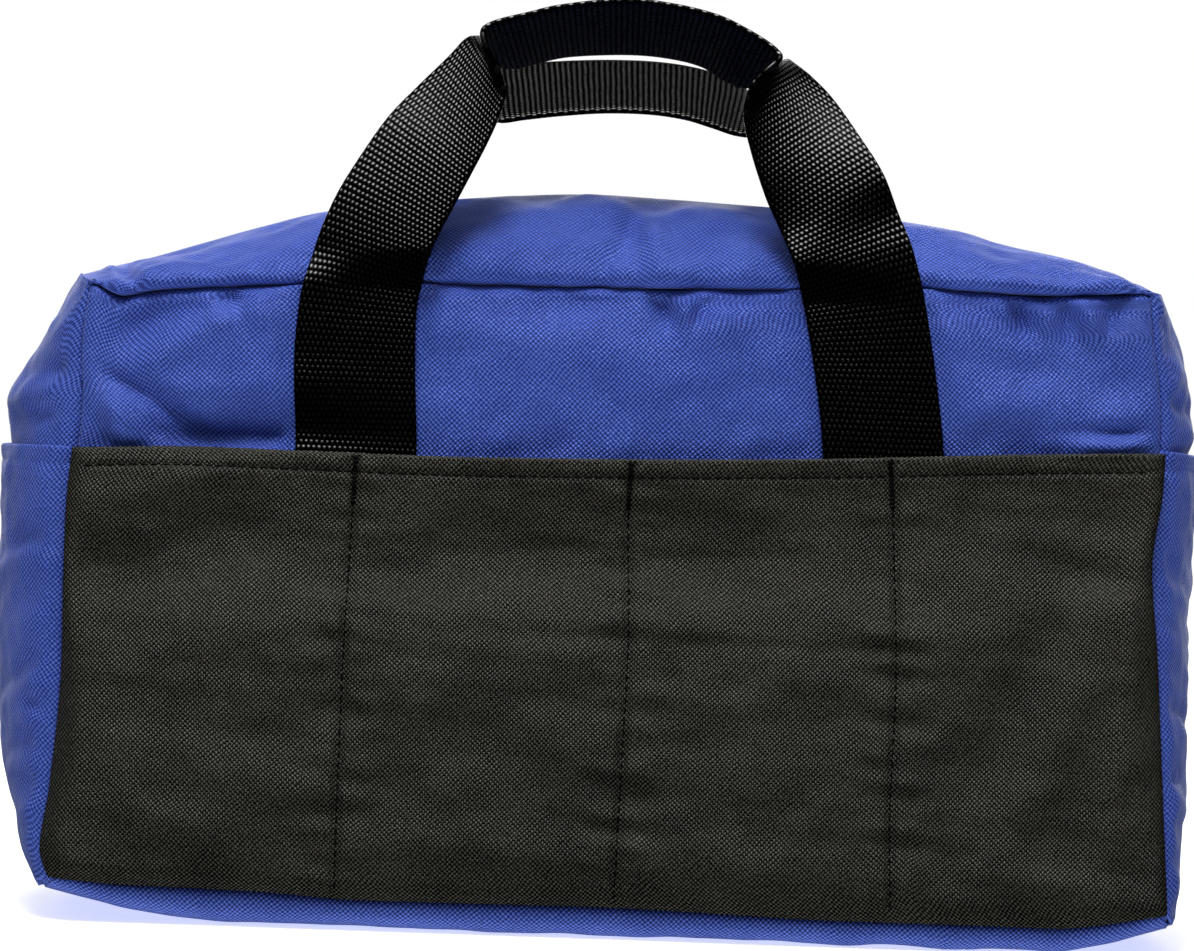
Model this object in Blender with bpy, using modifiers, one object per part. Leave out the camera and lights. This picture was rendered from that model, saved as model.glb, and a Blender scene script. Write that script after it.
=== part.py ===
"""A soft tool bag that stands on its base: sewn cloth panels, pockets and two webbing handles.

Metres, +Z up. The front faces -Y, the length runs along X, and the origin is under the middle.
Every cloth piece is a grid laid over a surface function of (u, v). Seen from outside the bag,
u runs from left to right and v from bottom to top, so each surface faces out.
"""
import math
from collections import namedtuple

import bmesh
import bpy
from mathutils import Vector

MM = 0.001

# Driving dimensions, in millimetres
CLOTH = 1.2              # thickness of a cloth wall
GAP = 0.3                # clearance kept between two pieces
HALF_DEPTH_BASE = 62.0   # from the middle to the front face, at the bottom seam
HALF_DEPTH_TOP = 48.0    # the same at the top seam
LEAN_BOTTOM = 12.0       # height at which the lean of the front starts
LEAN_TOP = 214.0         # height at which it ends
PANEL_CROWN = 3.0        # how far a big panel swells in its middle
BASE_ROLL = 15.0         # width of the rolled edge of the base
LEFT_REACH = 60.0        # length over which the base and the top bend to meet the left end
RIGHT_REACH = 40.0       # the same at the right end
POCKET_FOOT = 0.6        # clearance between a pocket's foot and the cloth behind it
FRONT_MOUTH = 3.6        # the same at the mouth of the front pockets, where the webbing ends
END_MOUTH = 1.4          # the same at the mouth of an end pocket
MOUTH_FROM, MOUTH_FULL = 0.42, 0.70  # shares of a pocket's height between which it opens
WEBBING_WIDTH = 40.0
WEBBING = 2.0            # thickness of the webbing
WEBBING_SEAT = 0.6       # clearance between a handle's leg and the cloth that it is sewn to
ZIP_SLOT = 10.0          # opening between the two halves of the top gusset
ZIP_TAPE = 30.0          # width of the zip under them
ZIP_SINK = 0.8           # clearance between the tape and the cloth above it
CROWN_ALLOWANCE = 1.06   # the crown is this much longer than a half circle over the seams
POCKET_ROW = 0.70        # v of the front panel's grid along the pocket's upper edge
POCKET_INSET = 0.004     # share of the panel left free round the front pocket
SEAT_TOP = 210.0         # height up to which a handle's leg lies on its panel
SEAT_FADE = 14.0         # height over which it then leaves the panel
COLUMNS = 24             # faces along a long piece
BACK_COLUMNS, BACK_ROWS = 12, 8
HALF_TOP_ROWS = 6        # faces from the seam to the zip
STATION_ROWS = 2         # faces of a handle from one station of its table to the next

# Form of the swells and the folds. Fades are shares of the panel.
END_FULLNESS = 1.15      # 1 is an ellipse, and more is flatter at the seams
TOP_FULLNESS = 0.9
SIDE_FADE, FOOT_FADE, HEAD_FADE = 0.05, 0.08, 0.06
TOP_SIDE_FADE = 0.06
TOP_FOLD_DEPTH = 25.0    # the folds of the top are full this far in front of its middle
TOP_FOLD_SHARE = 0.7     # a fold there moves the cloth as much forwards as upwards

# The seams of the front panel. x and z are in millimetres.
SideRow = namedtuple("SideRow", "z x")
EdgeRow = namedtuple("EdgeRow", "x z")

LEFT_SEAM = (
    SideRow(14, -173), SideRow(24, -176), SideRow(44, -173.7), SideRow(84, -171.5),
    SideRow(133, -172), SideRow(170, -170), SideRow(190, -171), SideRow(210, -169),
)
RIGHT_SEAM = (
    SideRow(14, 190), SideRow(42, 188.2), SideRow(96, 184.7), SideRow(128, 181.8),
    SideRow(154, 184.8), SideRow(176, 185.4), SideRow(206, 182), SideRow(218, 181),
)
BOTTOM_SEAM = (
    EdgeRow(-173, 14), EdgeRow(-151, 12.7), EdgeRow(-108, 12), EdgeRow(-72, 10.3),
    EdgeRow(6, 10.7), EdgeRow(85, 9), EdgeRow(154, 9), EdgeRow(190, 14),
)
TOP_SEAM = (
    EdgeRow(-169, 210), EdgeRow(-158, 205.3), EdgeRow(-147, 207.5), EdgeRow(-110, 210.3),
    EdgeRow(-60, 212.7), EdgeRow(12, 213.7), EdgeRow(63, 215), EdgeRow(107, 216.8),
    EdgeRow(145, 215.9), EdgeRow(181, 218),
)
POCKET_EDGE = (
    EdgeRow(-171, 155), EdgeRow(-130, 156.5), EdgeRow(-58, 156), EdgeRow(11, 157.2),
    EdgeRow(74, 159.4), EdgeRow(139, 163), EdgeRow(185, 165),
)
CROWN = (
    EdgeRow(-178, 214), EdgeRow(-171, 219), EdgeRow(-151, 223), EdgeRow(-124, 230.2),
    EdgeRow(-97, 237.5), EdgeRow(-43, 244.8), EdgeRow(-2, 247.3), EdgeRow(39, 245.8),
    EdgeRow(82, 243.5), EdgeRow(115, 240), EdgeRow(135, 234.9), EdgeRow(163, 230.2),
    EdgeRow(181, 223), EdgeRow(188, 218.5),
)

# The back is hidden, so its seams are plain.
BACK_LEFT_X, BACK_RIGHT_X = -172.0, 184.0
BACK_BOTTOM_Z, BACK_TOP_Z = 12.0, 213.0

# How far each end gusset swells past the side seams, and how far it lifts, in millimetres.
# v is 0 at the bottom and 1 at the top.
EndRow = namedtuple("EndRow", "v out lift")
LEFT_SWELL = (
    EndRow(0.00, 7, -7), EndRow(0.04, 11.5, -3), EndRow(0.10, 17, 0), EndRow(0.19, 23, 0),
    EndRow(0.31, 27, 0), EndRow(0.46, 27.6, 0), EndRow(0.70, 27.6, 0), EndRow(0.79, 30.5, 0),
    EndRow(0.88, 22.4, 1), EndRow(0.95, 14.5, 3), EndRow(1.00, 6.5, 3),
)
RIGHT_SWELL = (
    EndRow(0.00, 7, -8), EndRow(0.05, 10.7, -3), EndRow(0.10, 11.7, 0), EndRow(0.23, 15, 0),
    EndRow(0.40, 15, 0), EndRow(0.47, 15.2, 0), EndRow(0.55, 18.4, 0), EndRow(0.67, 16.6, 0),
    EndRow(0.73, 15.7, 0), EndRow(0.80, 16.7, 0), EndRow(0.92, 14, 0), EndRow(1.00, 7.5, 1),
)
END_FOOT, END_HEAD = 0.014, 0.99  # the share of v that an end gusset covers
LEFT_POCKET_V, RIGHT_POCKET_V = 0.72, 0.745

# Main folds of the front, in millimetres: middle, reach along and across, direction, height.
# A positive height stands out and a negative one sinks in.
Fold = namedtuple("Fold", "x z along across angle height")
FRONT_FOLDS = (
    Fold(-143, 172, 34, 7, 8, 3.5),
    Fold(-110, 163, 40, 8, -3, -2.5),
    Fold(-121, 200, 22, 7, 70, 3.0),
    Fold(-152, 196, 18, 6, 35, -3.0),
    Fold(24, 203, 16, 7, -62, -3.0),
    Fold(42, 205, 16, 7, 55, 2.5),
    Fold(150, 203, 26, 7, -20, -3.0),
    Fold(170, 172, 22, 7, 12, 2.5),
    Fold(-35, 118, 70, 9, 2, -1.5),
    Fold(55, 117, 60, 9, -2, -1.5),
)
TOP_FOLDS = (
    Fold(12, 232, 18, 9, 80, -4.0),
    Fold(-128, 220, 26, 8, 20, -3.0),
    Fold(120, 225, 26, 8, -25, -3.0),
)

# A handle, from one foot over the top to the other, in millimetres: places of its middle line,
# and how far aside and above it the inner edge of the webbing lies. The rest is forwards.
Station = namedtuple("Station", "x y z aside above")
FRONT_HANDLE = (
    Station(-79, -56, 122, 20, 0), Station(-79.1, -54.8, 157, 20, 0),
    Station(-80.6, -53, 186, 20, 0), Station(-80.2, -52.3, 205, 19.3, -1.5),
    Station(-78, -51.6, 216, 18.6, -3.5), Station(-75.5, -50.6, 225, 18, -5.5),
    Station(-71.7, -49, 235, 17, -7.5), Station(-66, -47, 246, 15.8, -9),
    Station(-59, -44, 258.5, 14.2, -10.2), Station(-52, -40.5, 269, 11.8, -10.8),
    Station(-45.5, -37, 279, 9.1, -11), Station(-41.9, -34.2, 286.2, 7.3, -10.5),
    Station(-41.2, -32.2, 289.9, 5, -8.3), Station(-41.6, -30.8, 292.8, 2.4, -5),
    Station(-42, -29.8, 294, 0, -1.2), Station(-41, -29, 294.6, -1.4, 2.2),
    Station(-38.6, -28.3, 295, -2.2, 3.8), Station(-34, -27.6, 296, -2.4, 4.8),
    Station(-26.2, -27.2, 297.7, -1.8, 5.4), Station(-15.1, -27, 300, -1.2, 6.2),
    Station(4.4, -27, 302, -0.3, 6.9), Station(19.5, -27, 301.1, 0.9, 6.6),
    Station(32.7, -27.4, 298.3, 2, 6.3), Station(41.5, -28, 294.7, 2.8, 5.7),
    Station(48, -28.8, 291.8, 3.2, 4.6), Station(52, -29.6, 290.6, 2.6, 3),
    Station(54.6, -30.6, 290.6, 1.2, 0.8), Station(55.4, -31.8, 290.6, -1.2, -1.6),
    Station(55.1, -33, 289.6, -4.6, -4.2), Station(54.4, -34.8, 286.5, -7.8, -5.7),
    Station(56.2, -37.2, 279.6, -11.5, -8), Station(61.2, -40.6, 269.7, -14, -9.7),
    Station(68.2, -45, 255.8, -15.7, -10.8), Station(74.7, -48, 244, -16.9, -10.2),
    Station(79.4, -50, 232.8, -17.6, -8.3), Station(82.7, -51.5, 224.5, -18.5, -6.8),
    Station(85.3, -52.3, 215.3, -19.2, -4.8), Station(87.5, -53, 205.2, -19.7, -2.6),
    Station(91.3, -54, 183, -20, 0), Station(94, -55.5, 160, -20, 0),
    Station(95, -57, 125, -20, 0),
)
BACK_HANDLE = (
    Station(-86, 57, 122, 20, 0), Station(-86.4, 55.5, 157, 20, 0),
    Station(-87.2, 54, 189, 20, 0), Station(-86.3, 53.5, 206, 19.4, -1.2),
    Station(-84.6, 53, 218, 18.4, -3.4), Station(-81.4, 52, 229.5, 17.2, -5.4),
    Station(-77, 50, 240.5, 15.6, -7), Station(-71, 47.8, 252, 14, -8),
    Station(-64, 45, 263, 12.2, -7.8), Station(-57.2, 41.8, 271.8, 10.2, -6.4),
    Station(-51.6, 38.2, 277.6, 7.6, -3.6), Station(-47.8, 35, 281, 4.2, 0.4),
    Station(-45.2, 32.2, 282, 1, 4.6), Station(-42.6, 30, 282.4, -1, 8.6),
    Station(-38.4, 28.5, 282.9, -1.7, 10.6), Station(-30.7, 27.5, 284.3, -1.7, 10.8),
    Station(-18, 27, 285.9, -1.2, 10.7), Station(-2, 27, 287.2, -0.6, 10.5),
    Station(13.7, 27, 287.3, -0.2, 10.5), Station(26.4, 27.5, 286.1, 0.3, 10.6),
    Station(37, 28.5, 283.6, 1.4, 10.5), Station(46, 30, 280.2, 2, 9.4),
    Station(51.6, 32, 277, 1, 6.2), Station(55, 35, 274.7, -1.6, 0.8),
    Station(58.4, 38.2, 270.6, -5, -4.2), Station(63.4, 42, 266, -8, -7.2),
    Station(70, 45, 259.4, -10.8, -8.6), Station(77.2, 48, 250, -13.4, -9.2),
    Station(83.2, 50, 240.4, -15.5, -8.6), Station(87.7, 52, 230.8, -17.3, -7.2),
    Station(91, 53, 220.5, -18.7, -5), Station(94, 54, 209.5, -19.5, -2.4),
    Station(99, 55, 185, -20, 0), Station(101, 57, 161, -20, 0),
    Station(101.5, 58.5, 122, -20, 0),
)

# Materials: colour, roughness
Look = namedtuple("Look", "color roughness")
LOOKS = {
    "blue cloth": Look((0.050, 0.090, 0.330), 0.85),
    "black cloth": Look((0.030, 0.032, 0.026), 0.9),
    "black webbing": Look((0.014, 0.015, 0.013), 0.7),
    "zip": Look((0.020, 0.020, 0.022), 0.6),
}


def smooth(rows, at):
    """Value of a two-column table at a position, on a smooth curve that never overshoots."""
    if at <= rows[0][0]:
        return rows[0][1]
    if at >= rows[-1][0]:
        return rows[-1][1]
    i = max(k for k in range(len(rows) - 1) if rows[k][0] <= at)

    def rise(k):
        return (rows[k + 1][1] - rows[k][1]) / (rows[k + 1][0] - rows[k][0])

    def slope(k):
        if k == 0:
            return rise(0)
        if k == len(rows) - 1:
            return rise(k - 1)
        before, after = rise(k - 1), rise(k)
        return 0.0 if before * after <= 0 else 2 * before * after / (before + after)

    span = rows[i + 1][0] - rows[i][0]
    t = (at - rows[i][0]) / span
    return ((2 * t**3 - 3 * t**2 + 1) * rows[i][1] + (t**3 - 2 * t**2 + t) * span * slope(i)
            + (3 * t**2 - 2 * t**3) * rows[i + 1][1] + (t**3 - t**2) * span * slope(i + 1))


def column(rows, name):
    """The first column of a table beside the named one."""
    return [(row[0], getattr(row, name)) for row in rows]


def lerp(a, b, t):
    return a + (b - a) * t


def step(t):
    """Smooth rise from 0 to 1."""
    t = min(max(t, 0.0), 1.0)
    return t * t * (3 - 2 * t)


def arch(t):
    """Round swell between two seams: 0 at both, 1 in the middle."""
    return math.sqrt(max(0.0, 1 - (2 * t - 1) ** 2)) ** END_FULLNESS


def fold_height(folds, x, z):
    """Sum of the folds at a point of a panel."""
    total = 0.0
    for fold in folds:
        turn = math.radians(fold.angle)
        dx, dz = x - fold.x, z - fold.z
        along = (dx * math.cos(turn) + dz * math.sin(turn)) / fold.along
        across = (dz * math.cos(turn) - dx * math.sin(turn)) / fold.across
        total += fold.height * math.exp(-along**2 - across**2)
    return total


def half_depth(z):
    return lerp(HALF_DEPTH_BASE, HALF_DEPTH_TOP, (z - LEAN_BOTTOM) / (LEAN_TOP - LEAN_BOTTOM))


def front_outline(u, v):
    """x and z of the front panel, blended between its four seams."""
    left_z = lerp(LEFT_SEAM[0].z, LEFT_SEAM[-1].z, v)
    right_z = lerp(RIGHT_SEAM[0].z, RIGHT_SEAM[-1].z, v)
    bottom_x = lerp(BOTTOM_SEAM[0].x, BOTTOM_SEAM[-1].x, u)
    top_x = lerp(TOP_SEAM[0].x, TOP_SEAM[-1].x, u)
    corners_x = lerp(lerp(BOTTOM_SEAM[0].x, BOTTOM_SEAM[-1].x, u), top_x, v)
    corners_z = lerp(lerp(LEFT_SEAM[0].z, RIGHT_SEAM[0].z, u),
                     lerp(LEFT_SEAM[-1].z, RIGHT_SEAM[-1].z, u), v)
    x = lerp(bottom_x, top_x, v) - corners_x
    x += lerp(smooth(LEFT_SEAM, left_z), smooth(RIGHT_SEAM, right_z), u)
    z = lerp(left_z, right_z, u) - corners_z
    z += lerp(smooth(BOTTOM_SEAM, bottom_x), smooth(TOP_SEAM, top_x), v)
    return x, z


def front(u, v):
    """Outer face of the front panel."""
    x, z = front_outline(u, v)
    swell = 16 * u * (1 - u) * v * (1 - v)
    inside = step(min(u, 1 - u) / SIDE_FADE) * step(v / FOOT_FADE) * step((1 - v) / HEAD_FADE)
    relief = PANEL_CROWN * swell + fold_height(FRONT_FOLDS, x, z) * inside
    return Vector((x, -half_depth(z) - relief, z))


def hem_row(u):
    """v of the front panel where the pocket's upper edge lies."""
    x, z_bottom = front_outline(u, 0)
    z_top = front_outline(u, 1)[1]
    return (smooth(POCKET_EDGE, x) - z_bottom) / (z_top - z_bottom)


def front_rows(u, v):
    """The front panel with v = POCKET_ROW along the pocket's upper edge."""
    hem = hem_row(u)
    if v <= POCKET_ROW:
        return front(u, hem * v / POCKET_ROW)
    return front(u, lerp(hem, 1, (v - POCKET_ROW) / (1 - POCKET_ROW)))


def back(u, v):
    """Outer face of the back panel. Seen from behind, its left is at +X."""
    x = lerp(BACK_RIGHT_X, BACK_LEFT_X, u)
    z = lerp(BACK_BOTTOM_Z, BACK_TOP_Z, v)
    return Vector((x, half_depth(z) + PANEL_CROWN * 16 * u * (1 - u) * v * (1 - v), z))


def end(side, u, v):
    """Outer face of an end gusset, between the side seams of the front and the back."""
    behind_seam = Vector((0, CLOTH + GAP, 0))
    swell = LEFT_SWELL if side < 0 else RIGHT_SWELL
    edge = 0 if side < 0 else 1
    near = front(edge, v) + behind_seam
    far = back(1 - edge, v) - behind_seam
    w = 1 - u if side < 0 else u
    point = near.lerp(far, w)
    point.x += side * smooth(column(swell, "out"), v) * arch(w)
    point.z += smooth(column(swell, "lift"), v) * arch(w)
    return point


def left_end(u, v):
    return end(-1, u, lerp(END_FOOT, END_HEAD, v))


def right_end(u, v):
    return end(1, u, lerp(END_FOOT, END_HEAD, v))


def end_edge(side, w, v):
    """Point of an end gusset's lower (v = 0) or upper (v = 1) edge, a share w of the way back."""
    return end(side, 1 - w if side < 0 else w, v)


def joined(body, u, across, w, v):
    """A point of a gusset's long strip, drawn out to meet the end gussets at both its ends."""
    point = body(u, across)
    first, last = body(0, across), body(1, across)
    point += (end_edge(-1, w, v) - first) * max(0.0, 1 - (point.x - first.x) / LEFT_REACH) ** 2
    point += (end_edge(1, w, v) - last) * max(0.0, 1 - (last.x - point.x) / RIGHT_REACH) ** 2
    return point


def rolled_base(u, w):
    """The base as if it had no ends: flat, with rolled edges, w being the share of the way back."""
    near = front(u, 0) + Vector((0, CLOTH + GAP, 0))
    far = back(1 - u, 0) - Vector((0, CLOTH + GAP, 0))
    point = near.lerp(far, w)
    from_seam = min(1.0, min(w, 1 - w) * (far.y - near.y) / BASE_ROLL)
    point.z *= 1 - math.sqrt(1 - (1 - from_seam) ** 2)
    return point


def base(u, v):
    """Outer face of the base, seen from below, with the front at v = 1."""
    return joined(rolled_base, u, 1 - v, 1 - v, 0)


def arched_top(u, v):
    """The top gusset as if it had no ends: an arch from the front seam to the back seam."""
    near = front(u, 1) + Vector((0, CLOTH + GAP, 0))
    far = back(1 - u, 1) - Vector((0, CLOTH + GAP, 0))
    turn = math.pi * v
    share, lift = (1 - math.cos(turn)) / 2, math.sin(turn) ** TOP_FULLNESS
    point = near.lerp(far, share)
    point.z += (smooth(CROWN, point.x) - point.z) * lift
    in_front = step(-point.y / TOP_FOLD_DEPTH) * step(min(u, 1 - u) / TOP_SIDE_FADE) * lift
    dent = fold_height(TOP_FOLDS, point.x, point.z) * in_front
    return point + Vector((0, -dent, dent)) * TOP_FOLD_SHARE


def top(u, v):
    """Outer face of the whole top gusset, seen from above, with the front at v = 0."""
    return joined(arched_top, u, v, (1 - math.cos(math.pi * v)) / 2, 1)


def top_share(width):
    """Half of a width across the crown, as a share of v."""
    half = HALF_DEPTH_TOP - CLOTH - GAP
    return width / 2 / (math.pi * half) * CROWN_ALLOWANCE


def top_front(u, v):
    return top(u, v * (0.5 - top_share(ZIP_SLOT)))


def top_back(u, v):
    return top(u, lerp(0.5 + top_share(ZIP_SLOT), 1, v))


def zip_line(u, v):
    """Outer face of the zip's tape, under the slot."""
    across = 0.5 + (v - 0.5) * 2 * top_share(ZIP_TAPE)
    return shifted(top, -(CLOTH + ZIP_SINK))(u, across)


def shifted(surface, distance):
    """The surface that lies a distance outside another. The distance may depend on (u, v)."""
    def moved(u, v):
        near = 1e-3
        u0, u1 = max(0.0, u - near), min(1.0, u + near)
        v0, v1 = max(0.0, v - near), min(1.0, v + near)
        along = surface(u1, v) - surface(u0, v)
        up = surface(u, v1) - surface(u, v0)
        out = distance(u, v) if callable(distance) else distance
        return surface(u, v) + along.cross(up).normalized() * out
    return moved


def stand_off(v, mouth):
    """From the cloth behind a pocket to the pocket's outer face, at a share v of its height."""
    opened = step((v - MOUTH_FROM) / (MOUTH_FULL - MOUTH_FROM))
    return CLOTH + lerp(POCKET_FOOT, mouth, opened)


def front_pocket(u, v):
    """Outer face of the front pocket panel, a little inside the panel behind it."""
    place = lerp(POCKET_INSET, 1 - POCKET_INSET, u)
    behind = front_rows(place, POCKET_ROW * lerp(POCKET_INSET, 1, v))
    return behind - Vector((0, stand_off(v, FRONT_MOUTH), 0))


def end_pocket(panel, hem):
    """Outer face of the pocket sewn over an end gusset, up to v = hem of the gusset."""
    def clearance(u, v):
        return stand_off(v / hem, lerp(POCKET_FOOT, END_MOUTH, step(min(u, 1 - u) / 0.2)))
    return shifted(panel, clearance)


def front_y(x, z):
    """y of the front panel's outer face at (x, z), by a few steps towards it."""
    width = TOP_SEAM[-1].x - TOP_SEAM[0].x
    height = TOP_SEAM[-1].z - BOTTOM_SEAM[-1].z
    u, v = 0.5, 0.5
    for _ in range(12):
        found_x, found_z = front_outline(u, v)
        u = min(1.0, max(0.0, u + (x - found_x) / width))
        v = min(1.0, max(0.0, v + (z - found_z) / height))
    return front(u, v).y


def back_y(x, z):
    u = (x - BACK_RIGHT_X) / (BACK_LEFT_X - BACK_RIGHT_X)
    v = (z - BACK_BOTTOM_Z) / (BACK_TOP_Z - BACK_BOTTOM_Z)
    return back(u, v).y


def spline(stations, at):
    """Point of a Catmull-Rom curve through table rows, at a share 0 to 1 of its length."""
    place = at * (len(stations) - 1)
    i = min(int(place), len(stations) - 2)
    t = place - i
    p0, p1 = stations[max(i - 1, 0)], stations[i]
    p2, p3 = stations[i + 1], stations[min(i + 2, len(stations) - 1)]
    return [0.5 * (2 * b + (c - a) * t + (2 * a - 5 * b + 4 * c - d) * t * t
                   + (3 * b - a - 3 * c + d) * t**3)
            for a, b, c, d in zip(p0, p1, p2, p3)]


def strap(stations, facing, seat_y):
    """Middle surface of a handle. facing is -1 on the front and 1 on the back."""
    def surface(u, v):
        x, y, z, aside, above = spline(stations, v)
        forward = math.sqrt(max(0.0, (WEBBING_WIDTH / 2) ** 2 - aside**2 - above**2))
        inner = Vector((aside, facing * forward, above))
        point = Vector((x, y, z)) - inner * (2 * u - 1) * facing
        if point.z < SEAT_TOP + SEAT_FADE:
            seat = seat_y(point.x, min(point.z, SEAT_TOP)) + facing * (WEBBING / 2 + WEBBING_SEAT)
            point.y = lerp(seat, point.y, step((point.z - SEAT_TOP) / SEAT_FADE))
        return point
    return surface


def cloth(name, surface, columns, rows, look, wall=CLOTH, offset=-1.0):
    """A grid laid over a surface and thickened. columns and rows are counts or shares."""
    us = [i / columns for i in range(columns + 1)] if isinstance(columns, int) else columns
    vs = [i / rows for i in range(rows + 1)] if isinstance(rows, int) else rows
    grid = bmesh.new()
    bmesh.ops.create_grid(grid, x_segments=len(us) - 1, y_segments=len(vs) - 1, size=1.0)
    for vert in grid.verts:
        i = round((vert.co.x + 1) / 2 * (len(us) - 1))
        j = round((vert.co.y + 1) / 2 * (len(vs) - 1))
        vert.co = surface(us[i], vs[j]) * MM
    mesh = bpy.data.meshes.new(name)
    grid.to_mesh(mesh)
    grid.free()
    piece = bpy.data.objects.new(name, mesh)
    piece.data.materials.append(look)
    solid = piece.modifiers.new("Thickness", "SOLIDIFY")
    solid.thickness = wall * MM
    solid.offset = offset
    solid.use_even_offset = False
    bpy.data.collections["Tool bag"].objects.link(piece)
    mesh.shade_smooth()
    return piece


def end_rows(covered, uncovered, hem):
    """Rows of an end gusset, with one along the upper edge of its pocket."""
    return [hem * share for share in covered] + [lerp(hem, 1, share) for share in uncovered]


def make_material(name):
    look = LOOKS[name]
    material = bpy.data.materials.new(name)
    material.use_nodes = True
    shader = material.node_tree.nodes["Principled BSDF"]
    shader.inputs["Base Color"].default_value = (*look.color, 1)
    shader.inputs["Roughness"].default_value = look.roughness
    shader.inputs["Metallic"].default_value = 0.0
    return material


def main():
    for thing in list(bpy.data.objects):
        bpy.data.objects.remove(thing, do_unlink=True)
    parts = bpy.data.collections.new("Tool bag")
    bpy.context.scene.collection.children.link(parts)
    looks = {name: make_material(name) for name in LOOKS}
    blue, black, webbing = looks["blue cloth"], looks["black cloth"], looks["black webbing"]

    lower = [POCKET_ROW * share for share in (0, 0.06, 0.22, 0.4, 0.55, 0.68, 0.8, 0.92, 1)]
    upper = [lerp(POCKET_ROW, 1, share) for share in (0.16, 0.33, 0.5, 0.67, 0.83, 1)]
    base_rows = (0, 0.035, 0.075, 0.125, 0.35, 0.65, 0.875, 0.925, 0.965, 1)
    end_columns = (0, 0.04, 0.11, 0.2, 0.3, 0.4, 0.5, 0.6, 0.7, 0.8, 0.89, 0.96, 1)
    sewn = end_columns[1:-1]
    covered = (0, 0.03, 0.09, 0.16, 0.28, 0.42, 0.55, 0.66, 0.82, 1)
    uncovered = (0.2, 0.4, 0.6, 0.8, 1)
    left_rows = end_rows(covered, uncovered, LEFT_POCKET_V)
    right_rows = end_rows(covered, uncovered, RIGHT_POCKET_V)

    cloth("front_panel", front_rows, COLUMNS, lower + upper, blue)
    cloth("back_panel", back, BACK_COLUMNS, BACK_ROWS, blue)
    cloth("left_end", left_end, end_columns, left_rows, blue)
    cloth("right_end", right_end, end_columns, right_rows, blue)
    cloth("base", base, COLUMNS, base_rows, blue)
    top_columns = [i / COLUMNS for i in range(COLUMNS + 1)]
    cloth("top_front", top_front, top_columns, HALF_TOP_ROWS, blue)
    cloth("top_back", top_back, top_columns, HALF_TOP_ROWS, blue)
    zip_columns = [0.012] + top_columns[1:-1] + [0.988]
    cloth("zip", zip_line, zip_columns, 2, looks["zip"])
    pocket_rows = [row / POCKET_ROW for row in lower]
    cloth("front_pocket", front_pocket, COLUMNS, pocket_rows, black)
    left_pocket, right_pocket = left_rows[1:len(covered)], right_rows[1:len(covered)]
    cloth("left_end_pocket", end_pocket(left_end, LEFT_POCKET_V), sewn, left_pocket, blue)
    cloth("right_end_pocket", end_pocket(right_end, RIGHT_POCKET_V), sewn, right_pocket, blue)
    front_strap, back_strap = strap(FRONT_HANDLE, -1, front_y), strap(BACK_HANDLE, 1, back_y)
    front_count, back_count = len(FRONT_HANDLE) - 1, len(BACK_HANDLE) - 1
    cloth("front_handle", front_strap, 2, STATION_ROWS * front_count, webbing, WEBBING, 0.0)
    cloth("back_handle", back_strap, 2, STATION_ROWS * back_count, webbing, WEBBING, 0.0)


main()
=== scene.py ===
"""Looks of the soft tool bag: woven cloth with folds, seams and stitches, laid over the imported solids.

Everything is worked out in millimetres, in the frame of the solids, and scaled when a mesh is made.
Surfaces are functions of (u, v). Seen from outside the bag, u runs from left to right and v from
bottom to top, so each surface faces out.
"""
import math
from collections import namedtuple

import bpy
import numpy as np
from mathutils import Matrix, Vector


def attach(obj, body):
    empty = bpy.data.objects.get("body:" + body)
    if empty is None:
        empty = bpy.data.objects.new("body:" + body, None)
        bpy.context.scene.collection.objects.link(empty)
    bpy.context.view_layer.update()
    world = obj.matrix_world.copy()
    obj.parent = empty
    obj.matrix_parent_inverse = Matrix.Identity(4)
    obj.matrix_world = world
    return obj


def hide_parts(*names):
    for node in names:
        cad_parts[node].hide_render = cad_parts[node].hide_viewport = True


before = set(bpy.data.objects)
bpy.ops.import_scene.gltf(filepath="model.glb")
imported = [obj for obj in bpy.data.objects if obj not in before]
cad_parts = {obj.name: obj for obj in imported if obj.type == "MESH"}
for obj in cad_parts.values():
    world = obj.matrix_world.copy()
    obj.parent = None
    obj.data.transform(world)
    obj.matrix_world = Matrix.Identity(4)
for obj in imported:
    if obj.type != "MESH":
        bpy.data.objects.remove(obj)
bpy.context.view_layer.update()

MM = 0.001

# Sizes of the solids, in millimetres
CLOTH, GAP = 1.2, 0.3
HALF_DEPTH_BASE, HALF_DEPTH_TOP = 62.0, 48.0
LEAN_BOTTOM, LEAN_TOP = 12.0, 214.0  # heights between which the front and the back lean in
PANEL_CROWN = 3.0  # how far the middle of a panel swells out
BASE_ROLL = 15.0  # width over which the base rolls up to its seams
LEFT_REACH, RIGHT_REACH = 60.0, 40.0  # lengths over which the gussets' strips are drawn out
POCKET_FOOT, FRONT_MOUTH, END_MOUTH = 0.6, 3.6, 1.4  # from the cloth behind to a pocket
MOUTH_FROM, MOUTH_FULL = 0.42, 0.70  # shares of a pocket's height between which it opens
WEBBING_WIDTH, WEBBING = 40.0, 2.0
WEBBING_SEAT = 0.6  # from the cloth to a handle's leg
SEAT_TOP, SEAT_FADE = 210.0, 14.0  # where a leg leaves the cloth, and how fast
ZIP_SLOT, ZIP_TAPE, ZIP_SINK = 10.0, 30.0, 0.8
POCKET_ROW = 0.70  # row of the front panel at the pocket's edge
LEFT_POCKET_V, RIGHT_POCKET_V = 0.72, 0.745
BACK_LEFT_X, BACK_RIGHT_X = -172.0, 184.0
BACK_BOTTOM_Z, BACK_TOP_Z = 12.0, 213.0


def table(columns, *rows):
    """Rows of numbers with named columns."""
    return tuple(map(namedtuple("Row", columns)._make, rows))


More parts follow.
